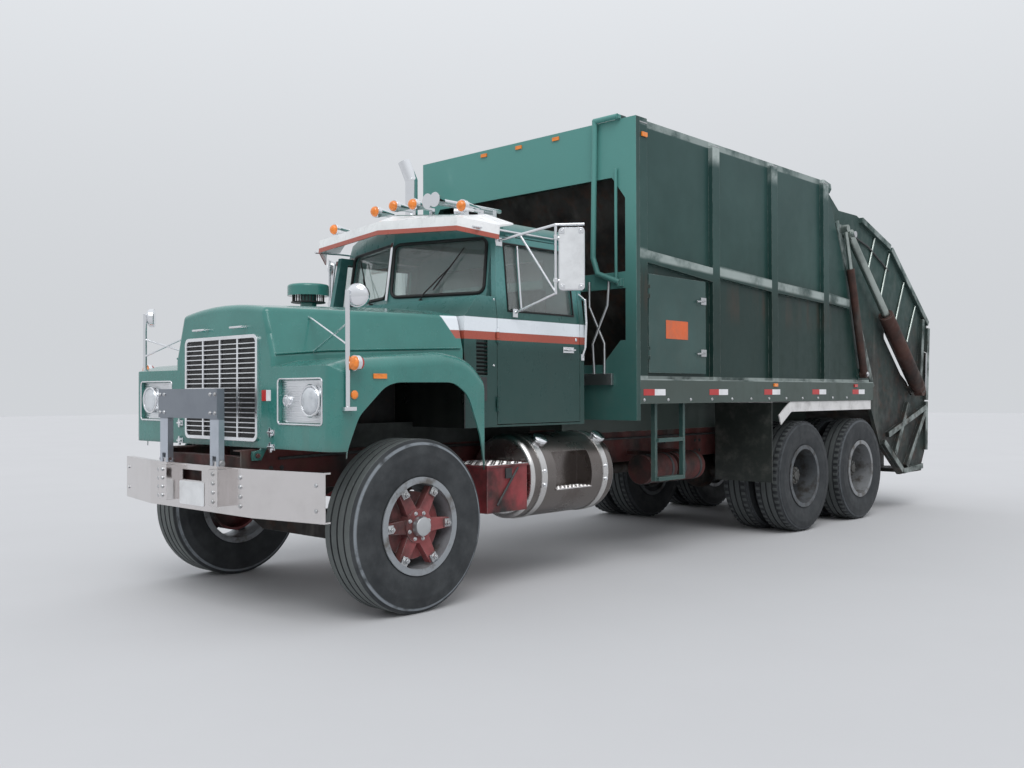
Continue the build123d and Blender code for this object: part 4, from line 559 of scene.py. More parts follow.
class Piece:
    """A mesh put together from simple closed forms in one finish, which rides on one body."""

    def __init__(self, name, look, body):
        self.name = name
        self.look = look
        self.body = body
        self.form = bmesh.new()

    def join(self, points, faces):
        verts = [self.form.verts.new(point) for point in points]
        for face in faces:
            self.form.faces.new([verts[i] for i in face])

    def box(self, x, y, z, turn=None):
        """A block between two limits on each axis, turned by a matrix if one is given."""
        points = [Vector((a, b, c)) for a in x for b in y for c in z]
        if turn:
            points = [turn @ point for point in points]
        faces = [(0, 1, 3, 2), (4, 6, 7, 5), (0, 4, 5, 1), (2, 3, 7, 6), (0, 2, 6, 4), (1, 5, 7, 3)]
        self.join(points, faces)

    def prism(self, outline, run):
        """A flat outline of points, drawn out along a run."""
        count = len(outline)
        points = [Vector(p) for p in outline] + [Vector(p) + Vector(run) for p in outline]
        walls = [(i, (i + 1) % count, (i + 1) % count + count, i + count) for i in range(count)]
        self.join(points, [tuple(range(count))[::-1], tuple(range(count, 2 * count))] + walls)

    def lathe(self, profile, at, axis, count=24, shape=None):
        """Turns (radius, height) points about an axis. A ring's profile ends where it starts."""
        turn = Vector(axis).to_track_quat("Z", "Y").to_matrix()
        ring = profile[0] == profile[-1]
        loops = []
        for row, (radius, height) in enumerate(profile[:-1] if ring else profile):
            loop = []
            for i in range(count if radius > 0 else 1):
                angle = 2 * pi * i / count
                reach = radius + (shape(row, i) if shape else 0)
                spot = Vector((reach * cos(angle), reach * sin(angle), height))
                loop.append(self.form.verts.new(Vector(at) + turn @ spot))
            loops.append(loop)
        if ring:
            loops.append(loops[0])
        for first, second in zip(loops, loops[1:]):
            for i in range(count):
                j = (i + 1) % count
                corners = [first[i % len(first)], first[j % len(first)]]
                corners += [second[j % len(second)], second[i % len(second)]]
                corners = [c for k, c in enumerate(corners) if c not in corners[:k]]
                self.form.faces.new(corners)

    def ring(self, at, axis, inner, outer, height, count=32):
        """A square-edged ring that stands on a point along an axis."""
        profile = [(inner, 0), (outer, 0), (outer, height), (inner, height), (inner, 0)]
        self.lathe(profile, at, axis, count)

    def rod(self, start, end, radius, tip=None, count=12):
        """A round bar or a cone between two points."""
        run = Vector(end) - Vector(start)
        tip = radius if tip is None else tip
        self.lathe([(0, 0), (radius, 0), (tip, run.length), (0, run.length)], start, run, count)

    def dome(self, at, axis, radius, rise, count=24, base=0.004):
        """A low round cap on a short edge."""
        steps = 5
        profile = [(0, 0), (radius, 0), (radius, base)]
        for i in range(1, steps):
            angle = pi / 2 * i / steps
            profile.append((radius * cos(angle), base + rise * sin(angle)))
        self.lathe(profile + [(0, base + rise)], at, axis, count)

    def tube(self, points, radius, closed=False, count=10):
        """A bent round tube through points."""
        points = [Vector(p) for p in points]
        total = len(points)
        loops = []
        side = None
        for i, point in enumerate(points):
            ahead = points[(i + 1) % total] if closed or i < total - 1 else point
            behind = points[i - 1] if closed or i > 0 else point
            run = (ahead - behind).normalized()
            side = (side - run * side.dot(run)).normalized() if side else run.orthogonal().normalized()
            up = run.cross(side)
            loop = []
            for k in range(count):
                angle = 2 * pi * k / count
                loop.append(self.form.verts.new(point + radius * (side * cos(angle) + up * sin(angle))))
            loops.append(loop)
        pairs = list(zip(loops, loops[1:])) + ([(loops[-1], loops[0])] if closed else [])
        for first, second in pairs:
            for k in range(count):
                m = (k + 1) % count
                self.form.faces.new([first[k], first[m], second[m], second[k]])
        if not closed:
            self.form.faces.new(loops[0][::-1])
            self.form.faces.new(loops[-1])

    def bolts(self, places, axis, radius=0.011, tall=0.008):
        """Hexagon heads on washers."""
        for place in places:
            for wide, high, count in ((radius * 1.35, tall * 0.25, 12), (radius, tall, 6)):
                self.lathe([(0, 0), (wide, 0), (wide, high), (0, high)], place, axis, count)

    def finish(self, bevel=0.0015):
        bmesh.ops.recalc_face_normals(self.form, faces=self.form.faces)
        for face in self.form.faces:
            face.smooth = True
        for edge in self.form.edges:
            edge.smooth = len(edge.link_faces) != 2 or edge.calc_face_angle(0) < radians(36)
        mesh = bpy.data.meshes.new(self.name)
        self.form.to_mesh(mesh)
        self.form.free()
        mesh.materials.append(MATERIALS[self.look])
        piece = bpy.data.objects.new(self.name, mesh)
        bpy.context.scene.collection.objects.link(piece)
        if bevel:
            rounding = piece.modifiers.new("edge_rounding", "BEVEL")
            rounding.width = bevel
            rounding.segments = 2
            rounding.limit_method = "ANGLE"
            rounding.angle_limit = radians(36)
        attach(piece, self.body)
        return piece


def span(s, low, high):
    """The two limits in x of a stretch on the side that s says."""
    return sorted((s * low, s * high))


def mirrored(s, points):
    """Points of the left side, taken to the side that s says."""
    return [(s * x, y, z) for x, y, z in points]


def rounded(centre, right, up, width, height, corner, steps=4):
    """The points of a rectangle with round corners in a plane."""
    points = []
    for quarter, (sx, sy) in enumerate(((1, 1), (-1, 1), (-1, -1), (1, -1))):
        for i in range(steps + 1):
            angle = pi / 2 * (quarter + i / steps)
            u = sx * (width / 2 - corner) + corner * cos(angle)
            v = sy * (height / 2 - corner) + corner * sin(angle)
            points.append(Vector(centre) + Vector(right) * u + Vector(up) * v)
    return points


def door_face(z):
    """The outer face of the cab's side at a height, above the belt line."""
    return CAB_HALF - DOOR_LEAN * max(0.0, z - BELT_Z)


def roof_z(x):
    """The height of the cab's roof at a distance from its middle."""
    x = abs(x)
    return 2.725 - 0.070 * x if x < 0.5 else 2.690 - 0.250 * (x - 0.5)


def make_tyre(axle, name, node, body, centres, width):
    """Tyres with grooves, shoulder rings and sidewall steps, in place of a node's plain ones."""
    half = width / 2
    lugs = axle != "front"
    # share of the half width, and radius, from the bead over the sidewall and shoulder to the tread
    wall = [(0.74, 0.292), (0.80, 0.299), (0.87, 0.312), (0.89, 0.322), (0.93, 0.345), (0.985, 0.385)]
    wall += [(0.998, 0.410), (0.998, 0.432), (1.006, 0.438), (1.006, 0.452), (0.99, 0.458)]
    wall += [(0.965, 0.492), (0.955, 0.503), (0.905, 0.508), (0.885, 0.520), (0.82, 0.526)]
    wall += [(0.79, 0.538), (0.76, 0.542)]
    groove = [(0.055, 0.542), (0.045, 0.529), (-0.045, 0.529), (-0.055, 0.542)]
    grooves = [(middle + x, r) for middle in (0.42, 0.0, -0.42) for x, r in groove]
    profile = [(r, x * half) for x, r in wall + grooves + [(-x, r) for x, r in reversed(wall)]]
    profile.append(profile[0])
    deep = len(wall) - 3
    shoulder_rows = set(range(deep, len(wall) + 1)) | set(range(len(wall) + 11, len(wall) + 15))
    segments = 156 if lugs else 104

    def sipes(row, i):
        """Cross grooves in the shoulders of a driven tyre."""
        return -0.011 if lugs and row in shoulder_rows and i % 3 == 0 else 0

    piece = Piece(name, axle + "_tyre", body)
    for x in centres:
        piece.lathe(profile, (x, AXLES[axle], AXLE_Z), ACROSS, segments, sipes)
    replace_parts(piece.finish(0), node)


def add_clamps(piece, s, axle, face, thick, radii, half, stud_r, stud_end):
    """Six rim clamps with their nuts and studs, on a wheel's face."""
    for i in range(6):
        aim = Matrix.Translation((s * face, AXLES[axle], AXLE_Z)) @ Matrix.Rotation(radians(60 * i), 4, "X")
        seat = aim @ Vector((s * thick, stud_r, 0))
        piece.box((0, s * thick), radii, (-half, half), aim)
        piece.bolts([seat], (s, 0, 0), 0.017, 0.022)
        piece.rod(seat, aim @ Vector((s * stud_end, stud_r, 0)), 0.008)


def add_hub_bolts(piece, s, axle, face, radius, turn=0):
    """Eight bolts round a hub."""
    for i in range(8):
        angle = radians(45 * i + turn)
        place = (s * face, AXLES[axle] + radius * cos(angle), AXLE_Z + radius * sin(angle))
        piece.bolts([place], (s, 0, 0), 0.010, 0.010)


def make_wheels():
    """Tyres, nuts, clamps and caps of all the wheels."""
    front_cap = [(0, 0), (0.064, 0), (0.066, 0.018), (0.058, 0.040), (0.040, 0.046), (0, 0.047)]
    front_lip = [(0.268, 0), (0.292, 0.004), (0.298, 0.012), (0.290, 0.016), (0.270, 0.008), (0.268, 0)]
    rear_cap = [(0, 0), (0.046, 0), (0.042, 0.014), (0, 0.018)]
    for side, s in SIDES:
        out = (s, 0, 0)
        wheel = f"front_{side}_wheel"
        make_tyre("front", f"front_{side}_tread", f"front_{side}_tyre", wheel, [s * 1.030], 0.300)
        fittings = Piece(f"front_{side}_wheel_nuts", "pale_steel", wheel)
        add_clamps(fittings, s, "front", 1.140, 0.018, (0.212, 0.272), 0.026, 0.232, 0.050)
        add_hub_bolts(fittings, s, "front", 1.1515, 0.084, 20)
        fittings.lathe(front_cap, (s * 1.156, AXLES["front"], AXLE_Z), out, 32)
        fittings.lathe(front_lip, (s * 1.150, AXLES["front"], AXLE_Z), out, 64)
        fittings.finish()
        for axle in ("forward", "rearward"):
            wheel = f"{axle}_{side}_wheel"
            tyres = f"{axle}_{side}_tyres"
            make_tyre(axle, f"{axle}_{side}_tread", tyres, wheel, [s * 0.730, s * 1.075], 0.290)
            fittings = Piece(f"{axle}_{side}_wheel_nuts", "wheel_grey", wheel)
            add_clamps(fittings, s, axle, 0.932, 0.026, (0.205, 0.266), 0.028, 0.228, 0.060)
            add_hub_bolts(fittings, s, axle, 1.107, 0.064)
            fittings.lathe(rear_cap, (s * 1.109, AXLES[axle], AXLE_Z), out, 24)
            fittings.finish()


def make_front():
    """Bolts and plate of the bumper and guard; lamps, latches, reflectors, beads and screens of the hood."""
    bolts = Piece("bumper_bolts", "pale_steel", "chassis")
    for s in (-1, 1):
        bolts.bolts([(s * 0.500, BUMPER_Y, 0.690 + 0.058 * i) for i in range(4)], FRONT, 0.012, 0.009)
        bolts.bolts([(s * 0.312, -4.685, 0.710 + 0.056 * i) for i in range(4)], FRONT, 0.011, 0.009)
        bolts.bolts([(s * 1.130, -4.512, z) for z in (0.700, 0.845)], (s * 0.19, -0.98, 0), 0.010, 0.007)
    bolts.finish()
    plate = Piece("front_plate", "white", "chassis")
    plate_at = (-0.070, BUMPER_Y - 0.001, 0.731)
    plate.prism(rounded(plate_at, ACROSS, UP, 0.305, 0.152, 0.012), (0, -0.003, 0))
    plate.finish(0)
    guard = Piece("guard_bolts", "pale_steel", "bumper_guard")
    for s in (-1, 1):
        guard.bolts([(s * x, -4.687, z) for x in (0.285, 0.340) for z in (1.250, 1.365)], FRONT, 0.010, 0.008)
        guard.bolts([(s * 0.368, -4.655, 0.945)], (s, 0, 0), 0.016, 0.010)
    guard.finish()

    rims = Piece("lamp_rims", "chrome", "hood")
    glass = Piece("headlight_glass", "lamp_glass", "hood")
    side_lamps = Piece("side_marker_lenses", "amber", "hood")
    ribs = Piece("bezel_ribs", "grille", "hood")
    lamp_rim = [(0.080, 0), (0.094, 0), (0.098, 0.006), (0.092, 0.014), (0.082, 0.010), (0.080, 0)]
    small_rim = [(0.026, 0), (0.034, 0), (0.036, 0.006), (0.028, 0.009), (0.026, 0)]
    for s in (-1, 1):
        lamp = (s * 0.967, -4.432, LAMP_Z)
        small_lamp = (s * 0.715, -4.426, LAMP_Z)
        rims.lathe(lamp_rim, lamp, FRONT, 40)
        rims.lathe(small_rim, small_lamp, FRONT, 24)
        glass.dome(lamp, FRONT, 0.082, 0.018, 32)
        glass.dome(small_lamp, FRONT, 0.027, 0.008)
        for i in range(17):
            z = 1.207 + 0.0148 * i
            end = 0.868 if abs(z - LAMP_Z) < 0.085 else 1.078
            start = 0.752 if abs(z - LAMP_Z) < 0.036 else 0.657
            ribs.box(span(s, start, end), (-4.4185, -4.412), (z - 0.0035, z + 0.0035))
        frame_line = rounded((s * 0.8675, -4.441, 1.320), ACROSS, UP, 0.446, 0.272, 0.022)
        rims.tube(frame_line, 0.006, closed=True, count=8)
        side_lamps.dome((s * 1.195, -4.290, 1.360), (s, 0, 0), 0.026, 0.010)
        side_lamps.box(span(s, 1.195, 1.205), (-4.150, -4.050), (1.455, 1.485))
    ribs.finish(0.0008)
    rims.finish(0)
    glass.finish(0)
    side_lamps.finish()

    latches = Piece("hood_latches", "chrome", "hood")
    for x, z in ((0.580, 1.040), (0.580, 1.130), (-0.520, 1.050), (-0.520, 1.170)):
        latches.box((x - 0.034, x + 0.034), (-4.447, -4.440), (z - 0.018, z + 0.018))
        latches.rod((x - 0.026, -4.455, z), (x + 0.026, -4.455, z), 0.007)
        latches.box((x - 0.008, x + 0.008), (-4.458, -4.446), (z - 0.030, z + 0.030))
    pull = [(0.30, -4.44, 1.790), (0.30, -4.475, 1.790), (0.16, -4.475, 1.790), (0.16, -4.44, 1.790)]
    for s in (-1, 1):
        latches.tube(mirrored(s, pull), 0.007)
    latches.finish(0.001)
    for x0, x1, look in ((0.472, 0.521, "tape_red"), (0.521, 0.570, "tape_white")):
        tag = Piece("hood_reflector_" + look[5:], look, "hood")
        tag.box((x0, x1), (-4.4435, -4.4405), (1.323, 1.391))
        tag.finish(0.0008)

    bead = Piece("hood_beads", "teal", "hood")
    edge = [(0.598, -4.425, 1.612), (0.700, -4.100, 1.640), (0.990, -3.235, 1.672)]
    for s in (-1, 1):
        bead.tube(mirrored(s, edge), 0.007)
    bead.finish(0)
    mesh = Piece("grille_screen", "black", "hood")
    mesh.box((-0.438, 0.438), (-4.4385, -4.4335), (1.072, 1.738))
    mesh.finish(0)
    screen = Piece("intake_screen", "black", "hood")
    x, y, z = INTAKE_AT
    bars = 30
    for i in range(bars):
        angle = 2 * pi * i / bars
        spot = (x + INTAKE_R * cos(angle), y + INTAKE_R * sin(angle))
        screen.rod((*spot, z - 0.006), (*spot, z + 0.047), 0.004, count=6)
    screen.ring((x, y, z - 0.008), UP, 0.062, 0.130, 0.008, 40)
    screen.finish(0)


def screen_point(s, u, v, out):
    """A point on one windshield pane: along it from the centre post, up it, and out of it."""
    along = Vector((1, s * 0.31, 0)).normalized()
    normal = along.cross(SCREEN_UP).normalized()
    return SCREEN_FOOT + along * u + normal.cross(along) * v + normal * out


def make_cab():
    """Gaskets, wipers, louvres, patches, lamp lenses and drip rails of the cab."""
    gaskets = Piece("window_gaskets", "black", "chassis")
    wipers = Piece("wipers", "black", "chassis")
    chrome = Piece("cab_brightwork", "chrome", "chassis")
    lenses = Piece("roof_lamp_lenses", "amber", "chassis")
    louvres = Piece("cowl_louvres", "black", "chassis")
    patches = Piece("cowl_patches", "dark_paint", "chassis")
    drip_rail = [(0.915, -3.040, 2.520), (0.908, -2.780, 2.528), (0.908, -1.930, 2.528)]
    for s in (-1, 1):
        along = Vector((1, s * 0.31, 0)).normalized()
        up = along.cross(SCREEN_UP).normalized().cross(along)
        line = rounded(screen_point(s, s * 0.425, 0.250, 0.002), along, up, 0.786, 0.406, 0.053)
        gaskets.tube(line, 0.013, closed=True, count=8)
        arm = [(s * 0.30, 0.010, 0.020), (s * 0.34, 0.060, 0.034), (s * 0.52, 0.235, 0.020)]
        blade = [(s * 0.40, 0.085, 0.012), (s * 0.640, 0.390, 0.012)]
        wipers.rod(screen_point(s, *arm[0][:2], -0.02), screen_point(s, *arm[0]), 0.013)
        for run in (arm, blade):
            wipers.tube([screen_point(s, *point) for point in run], 0.005)
        for i in range(9):
            z = 1.502 + 0.026 * i
            tilt = Matrix.Translation((s * 0.977, -3.024, z)) @ Matrix.Rotation(radians(-s * 38), 4, "Y")
            louvres.box((-0.011, 0.011), (-0.055, 0.055), (-0.0012, 0.0012), tilt)
        patches.prism(rounded((s * 0.986, -3.033, 1.395), BACK, UP, 0.110, 0.165, 0.008), (s * 0.002, 0, 0))
        chrome.tube(mirrored(s, drip_rail), 0.010)
        chrome.bolts([(s * 0.985, -2.905, z) for z in (1.560, 2.020)], (s, 0, 0), 0.006, 0.004)
    post = Matrix.Translation(screen_point(1, 0, 0, 0.016)) @ Matrix.Rotation(radians(-8.3), 4, "X")
    chrome.box((-0.012, 0.012), (-0.004, 0.004), (0.020, 0.470), post)
    for x in (-0.740, -0.220, 0, 0.220, 0.740):
        lenses.dome((x, -2.970, roof_z(x) + 0.066), FRONT, 0.040, 0.034, base=0.010)
        chrome.ring((x, -2.968, roof_z(x) + 0.066), FRONT, 0.040, 0.046, 0.012)
    for piece in (gaskets, lenses):
        piece.finish(0)
    for piece in (wipers, chrome, louvres, patches):
        piece.finish(0.0008)


def make_doors():
    """Handles, locks, gaskets and mirror faces on both doors."""
    grip = [(0.990, -2.155, 1.690), (1.018, -2.148, 1.690), (1.020, -2.060, 1.690), (0.990, -2.050, 1.690)]
    window = [(-2.757, 1.950), (-2.738, 2.437), (-2.033, 2.437), (-2.033, 1.950)]
    vent = [(-2.612, 1.950), (-2.590, 2.436)]
    for side, s in SIDES:
        door = side + "_door"
        chrome = Piece(side + "_door_brightwork", "chrome", door)
        chrome.box(span(s, 0.985, 0.993), (-2.165, -2.040), (1.668, 1.712))
        chrome.tube(mirrored(s, grip), 0.008)
        chrome.dome((s * 0.985, -2.010, 1.770), (s, 0, 0), 0.013, 0.005)
        gaskets = Piece(side + "_door_gaskets", "black", door)
        line = [(s * (door_face(z) + 0.001), y, z) for y, z in window]
        gaskets.tube(line, 0.009, closed=True, count=8)
        chrome.tube([(s * (door_face(z) - 0.002), y, z) for y, z in vent], 0.009)
        head = Vector((s * 1.390, -2.545, 2.300))
        out = Vector((s * 0.6, -0.8, 0))
        across = Vector((s * 0.8, 0.6, 0))
        up = Vector(UP)
        glass = Piece(side + "_mirror_glass", "mirror", door)
        glass.prism(rounded(head - out * 0.0345, across, up, 0.166, 0.424, 0.022), -out * 0.003)
        glass.finish(0)
        back = Piece(side + "_mirror_back", "white", door)
        back.prism(rounded(head + out * 0.0005, across, up, 0.168, 0.426, 0.024), out * 0.006)
        back.finish(0.002)
        for u in (-0.066, 0.066):
            for v in (-0.195, 0.195):
                spot = head + across * u + up * v
                chrome.prism(rounded(spot + out * 0.006, across, up, 0.036, 0.036, 0.008), out * 0.004)
                chrome.bolts([spot + out * 0.010], out, 0.006, 0.005)
        for z in (2.150, 2.450):
            chrome.ring((s * 1.300, -2.610, z - 0.015), UP, 0.011, 0.017, 0.030, 16)
        for y, z in ((-2.790, 2.440), (-2.700, 1.935)):
            x = s * (door_face(z) + 0.014)
            pair = [(x, y - 0.015, z + 0.018), (x, y + 0.015, z - 0.018)]
            chrome.bolts(pair, (s, 0, 0), 0.006, 0.005)
        chrome.finish(0.0008)
        gaskets.finish(0)


def make_fender_mirrors():
    """Glass, backs and turn lamp lenses of the round mirrors on the fenders."""
    glass = Piece("fender_mirror_glass", "mirror", "hood")
    caps = Piece("fender_mirror_caps", "chrome", "hood")
    lamps = Piece("turn_lamp_lenses", "red_lens", "hood")
    fronts = Piece("turn_lamp_fronts", "amber", "hood")
    for s in (-1, 1):
        out = Vector((s * 0.6, -0.8, 0))
        glass.dome((s * 1.218, -4.276, 1.935), -out, 0.059, 0.008, 32, 0.002)
        caps.dome((s * 1.236, -4.300, 1.935), out, 0.064, 0.022, 32, 0.003)
        caps.ring((s * 1.217, -4.275, 1.935), out, 0.062, 0.069, 0.032, 40)
        lamps.dome((s * 1.240, -4.298, 1.543), BACK, 0.042, 0.030)
        fronts.dome((s * 1.240, -4.325, 1.543), FRONT, 0.042, 0.020)
    for piece in (glass, caps, lamps, fronts):
        piece.finish(0)


def make_body():
    """Tape, lenses, bolts and pipes of the packer body, and the access door's square and latches."""
    length = 0.150
    for look, shift in (("tape_red", 0.0), ("tape_white", length)):
        tape = Piece("side_" + look, look, "chassis")
        for s in (-1, 1):
            for y in (-1.480, -0.520, 0.420, 1.380, 2.300):
                start = y + shift
                tape.box(span(s, RIB_X, RIB_X + 0.0012), (start, start + length), (1.345, 1.395))
        tape.finish(0)
    marker = Piece("body_marker_lenses", "amber", "chassis")
    stop = Piece("body_tail_lenses", "red_lens", "chassis")
    steel = Piece("body_fittings", "pale_steel", "chassis")
    for s in (-1, 1):
        lens_x = span(s, RIB_X, RIB_X + 0.014)
        marker.box(lens_x, (-1.500, -1.430), (3.380, 3.415))
        marker.box(lens_x, (0.590, 0.660), (1.420, 1.450))
        stop.box(lens_x, (2.330, 2.400), (1.420, 1.450))
        for y in (-1.470, -0.398, 0.633, 1.703):
            steel.box(span(s, 1.196, 1.238), (y - 0.050, y + 0.050), (3.488, 3.496))
        for i in range(12):
            steel.bolts([(s * RIB_X, -1.470 + 0.330 * i, 1.310)], (s, 0, 0), 0.010, 0.007)
        steel.bolts([(s * 1.288, 2.560, 1.560)], (s, 0, 0), 0.020, 0.012)
        steel.bolts([(s * 1.095, 1.870, 3.470)], (-s, 0, 0), 0.022, 0.010)
    for x in (-0.420, 0, 0.420):
        marker.box((x - 0.035, x + 0.035), (-1.582, -1.570), (3.470, 3.500))
    marker.finish()
    stop.finish()
    steel.finish(0.001)
    pipes = Piece("front_frame_pipes", "pale_steel", "chassis")
    for low_x, high_x in ((0.930, 0.780), (0.830, 0.980), (0.700, 0.640)):
        mid_y = -1.584 if low_x > 0.9 else -1.606
        run = [(low_x, -1.584, 1.480), (low_x, mid_y, 1.760), (high_x, mid_y, 2.060), (high_x, -1.584, 2.260)]
        pipes.tube(run, 0.011)
    pipes.box((0.620, 1.010), (-1.600, -1.571), (1.430, 1.520))
    pipes.finish(0.001)
    sign = Piece("access_door_square", "orange", "side_access_door")
    sign.prism(rounded((1.2255, -0.995, 1.879), BACK, UP, 0.320, 0.150, 0.004), (0.0015, 0, 0))
    sign.finish(0)
    latch = Piece("access_door_latches", "pale_steel", "side_access_door")
    for z in (1.700, 2.140):
        latch.box((1.225, 1.233), (-0.640, -0.560), (z - 0.030, z + 0.030))
        latch.tube([(1.232, -0.585, z), (1.244, -0.600, z), (1.244, -0.720, z - 0.010)], 0.008)
        latch.bolts([(1.233, -0.625, z)], ACROSS, 0.008, 0.006)
    latch.finish(0.001)


def add_lugs(piece, s, corner, pitch, rows, columns, half_long, half_wide):
    """Raised lugs of a tread plate, turned one way and the other by turns."""
    for row in range(rows):
        for column in range(columns):
            place = (s * (corner[0] + pitch[0] * row), corner[1] + pitch[1] * column, corner[2])
            way = 45 if (row + column) % 2 else -45
            turn = Matrix.Translation(place) @ Matrix.Rotation(radians(way), 4, "Z")
            piece.box((-half_long, half_long), (-half_wide, half_wide), (-0.001, 0.003), turn)


def make_chassis():
    """Tank caps, treads, box latches, splash shields, clamps of the stack, and lines along the frame."""
    bright = Piece("tank_fittings", "chrome", "chassis")
    cap_out = Vector((0.574, 0, 0.819))
    cap = [(0, 0), (0.050, 0), (0.050, 0.022), (0.058, 0.022), (0.058, 0.040), (0.050, 0.046), (0, 0.048)]
    for y in (-2.420, -1.740):
        seat = Vector((TANK_AT[0], y, TANK_AT[1])) + cap_out * (TANK_R - 0.006)
        bright.lathe(cap, seat, cap_out, 24)
    for y in (-2.505, -1.795):
        bright.bolts([(1.100, y, 0.810), (1.100, y, 0.710)], ACROSS, 0.012, 0.014)
    bright.finish(0.0008)
    tread = Piece("tank_step_treads", "polished", "chassis")
    tread.box((0.952, 1.096), (-2.366, -1.964), (0.660, 0.668))
    add_lugs(tread, 1, (0.966, -2.352, 0.668), (0.019, 0.0222), 7, 18, 0.008, 0.002)
    for s in (-1, 1):
        tread.box(span(s, 0.640, 1.094), (-3.088, -2.682), (0.874, 0.878))
        add_lugs(tread, s, (0.680, -3.062, 0.878), (0.036, 0.040), 12, 10, 0.012, 0.0025)
    tread.finish(0)
    iron = Piece("frame_fittings", "dark_paint", "chassis")
    strap = [(1.093, -2.990, 0.600), (1.100, -2.880, 0.740), (1.093, -2.780, 0.850)]
    line = [(0.445, -4.300, 0.960), (0.445, -3.100, 0.985), (0.445, -1.000, 0.960), (0.445, 2.900, 0.960)]
    for s in (-1, 1):
        iron.tube(mirrored(s, strap), 0.008)
        iron.box(span(s, 1.090, 1.102), (-2.910, -2.850), (0.780, 0.850))
        iron.tube(mirrored(s, line), 0.010)
        for y in (-4.350, -3.150, -2.900, -1.500, -0.100, 0.500, 2.850):
            four = [(s * 0.432, y + dy, z) for dy in (0, 0.080) for z in (0.800, 0.900)]
            iron.bolts(four, (s, 0, 0), 0.012, 0.010)
    for y in (-0.740, -0.480, -0.290, -0.030):
        iron.ring((0.700, y, 0.700), BACK, 0.128, 0.134, 0.030, 40)
    iron.finish(0.001)
    # Dark rubber splash shields, which also fill the gap under the hood with painted shade
    shields = Piece("splash_shields", "flap", "chassis")
    for s in (-1, 1):
        shields.box(span(s, 0.452, 0.460), (-3.900, -1.950), (1.005, 1.165))
    shields.finish(0.001)
    clamps = Piece("stack_clamps", "pale_steel", "chassis")
    for z in (1.480, 2.490):
        clamps.ring((*STACK_AT, z), UP, 0.060, 0.098, 0.030, 40)
    for z in (1.200, 2.800):
        clamps.ring((*STACK_AT, z), UP, 0.057, 0.066, 0.024)
    clamps.finish(0.001)


BRACES = [
    # start y and z, end y and z of each brace on the tailgate's side plates
    (2.860, 2.640, 3.080, 3.100),
    (3.220, 2.420, 3.480, 2.960),
    (3.640, 2.180, 3.900, 2.660),
    (3.980, 1.960, 4.240, 2.400),
]

# The lift rods' part inside their barrels: y and z of foot and eye, and shares of the way between them
LIFT_X = 1.248
LIFT_FOOT = (2.560, 1.560)
LIFT_EYE = (2.120, 3.080)
SHAFT_START = 0.303
SHAFT_END = 0.670
SHAFT_R = 0.0218


def make_tailgate():
    """Tail lamps, pins, pipes, grab bars, treads, tape and braces of the tailgate, and its lift rods."""
    lamps = Piece("tail_lenses", "red_lens", "tailgate")
    amber = Piece("tail_turn_lenses", "amber", "tailgate")
    steel = Piece("tailgate_fittings", "pale_steel", "tailgate")
    grab_bar = [(1.140, 4.505, 1.860), (1.182, 4.508, 1.840), (1.182, 4.470, 1.380), (1.140, 4.465, 1.360)]
    for s in (-1, 1):
        for x, piece in ((1.020, lamps), (0.890, lamps), (0.760, amber)):
            piece.dome((s * x, LIP_Y, 0.945), BACK, 0.048, 0.014)
            steel.ring((s * x, LIP_Y, 0.945), BACK, 0.048, 0.056, 0.012)
        lamps.box(span(s, 1.010, 1.080), (4.580, 4.596), (2.230, 2.262))
        steel.tube(mirrored(s, grab_bar), 0.012)
        for y, z, reach in ((2.228, 3.025, 1.305), (1.870, 3.470, 1.141), (*LIFT_EYE, 1.200)):
            steel.lathe([(0, 0), (0.034, 0), (0.034, 0.010), (0, 0.012)], (s * reach, y, z), (s, 0, 0), 24)
        for i in range(5):
            for j in range(12):
                x, y = 0.700 + 0.085 * i, 4.105 + 0.036 * j
                steel.box(span(s, x, x + 0.030), (y, y + 0.006), (0.440, 0.444))
    for x in (-0.140, 0, 0.140):
        lamps.box((x - 0.035, x + 0.035), (4.556, 4.570), (0.975, 1.000))
    lamps.finish()
    amber.finish(0)
    steel.finish(0.0008)
    plate = Piece("rear_plate", "white", "tailgate")
    plate.prism(rounded((-0.400, LIP_Y + 0.001, 0.940), ACROSS, UP, 0.250, 0.120, 0.010), (0, 0.003, 0))
    plate.finish(0)
    length = 0.105
    for look, start in (("tape_red", 0), ("tape_white", 1)):
        tape = Piece("tailgate_" + look, look, "tailgate")
        for s in (-1, 1):
            for i in range(start, 8, 2):
                z = 1.300 + length * i
                y = 4.5635 + (z - 1.270) * 0.0860
                tape.box(span(s, 1.1005, 1.1395), (y, y + 0.0012), (z, z + length))
        tape.finish(0)
    lines = Piece("tailgate_pipes", "dark_paint", "tailgate")
    for s in (-1, 1):
        lines.tube(mirrored(s, [(1.155, 2.300, 3.100), (1.155, 2.900, 2.980), (1.155, 3.450, 2.760)]), 0.010)
    lines.finish(0)
    braces = Piece("tailgate_braces", "rod", "tailgate")
    for s in (-1, 1):
        for y, z, end_y, end_z in BRACES:
            braces.rod((s * 1.152, y, z), (s * 1.152, end_y, end_z), 0.012)
    braces.finish(0)
    shafts = Piece("lift_rod_shafts", "rod", "lift_rods")
    for s in (-1, 1):
        foot, eye = (Vector((s * LIFT_X, *point)) for point in (LIFT_FOOT, LIFT_EYE))
        shafts.rod(foot.lerp(eye, SHAFT_START), foot.lerp(eye, SHAFT_END), SHAFT_R, count=24)
    shafts.finish(0)


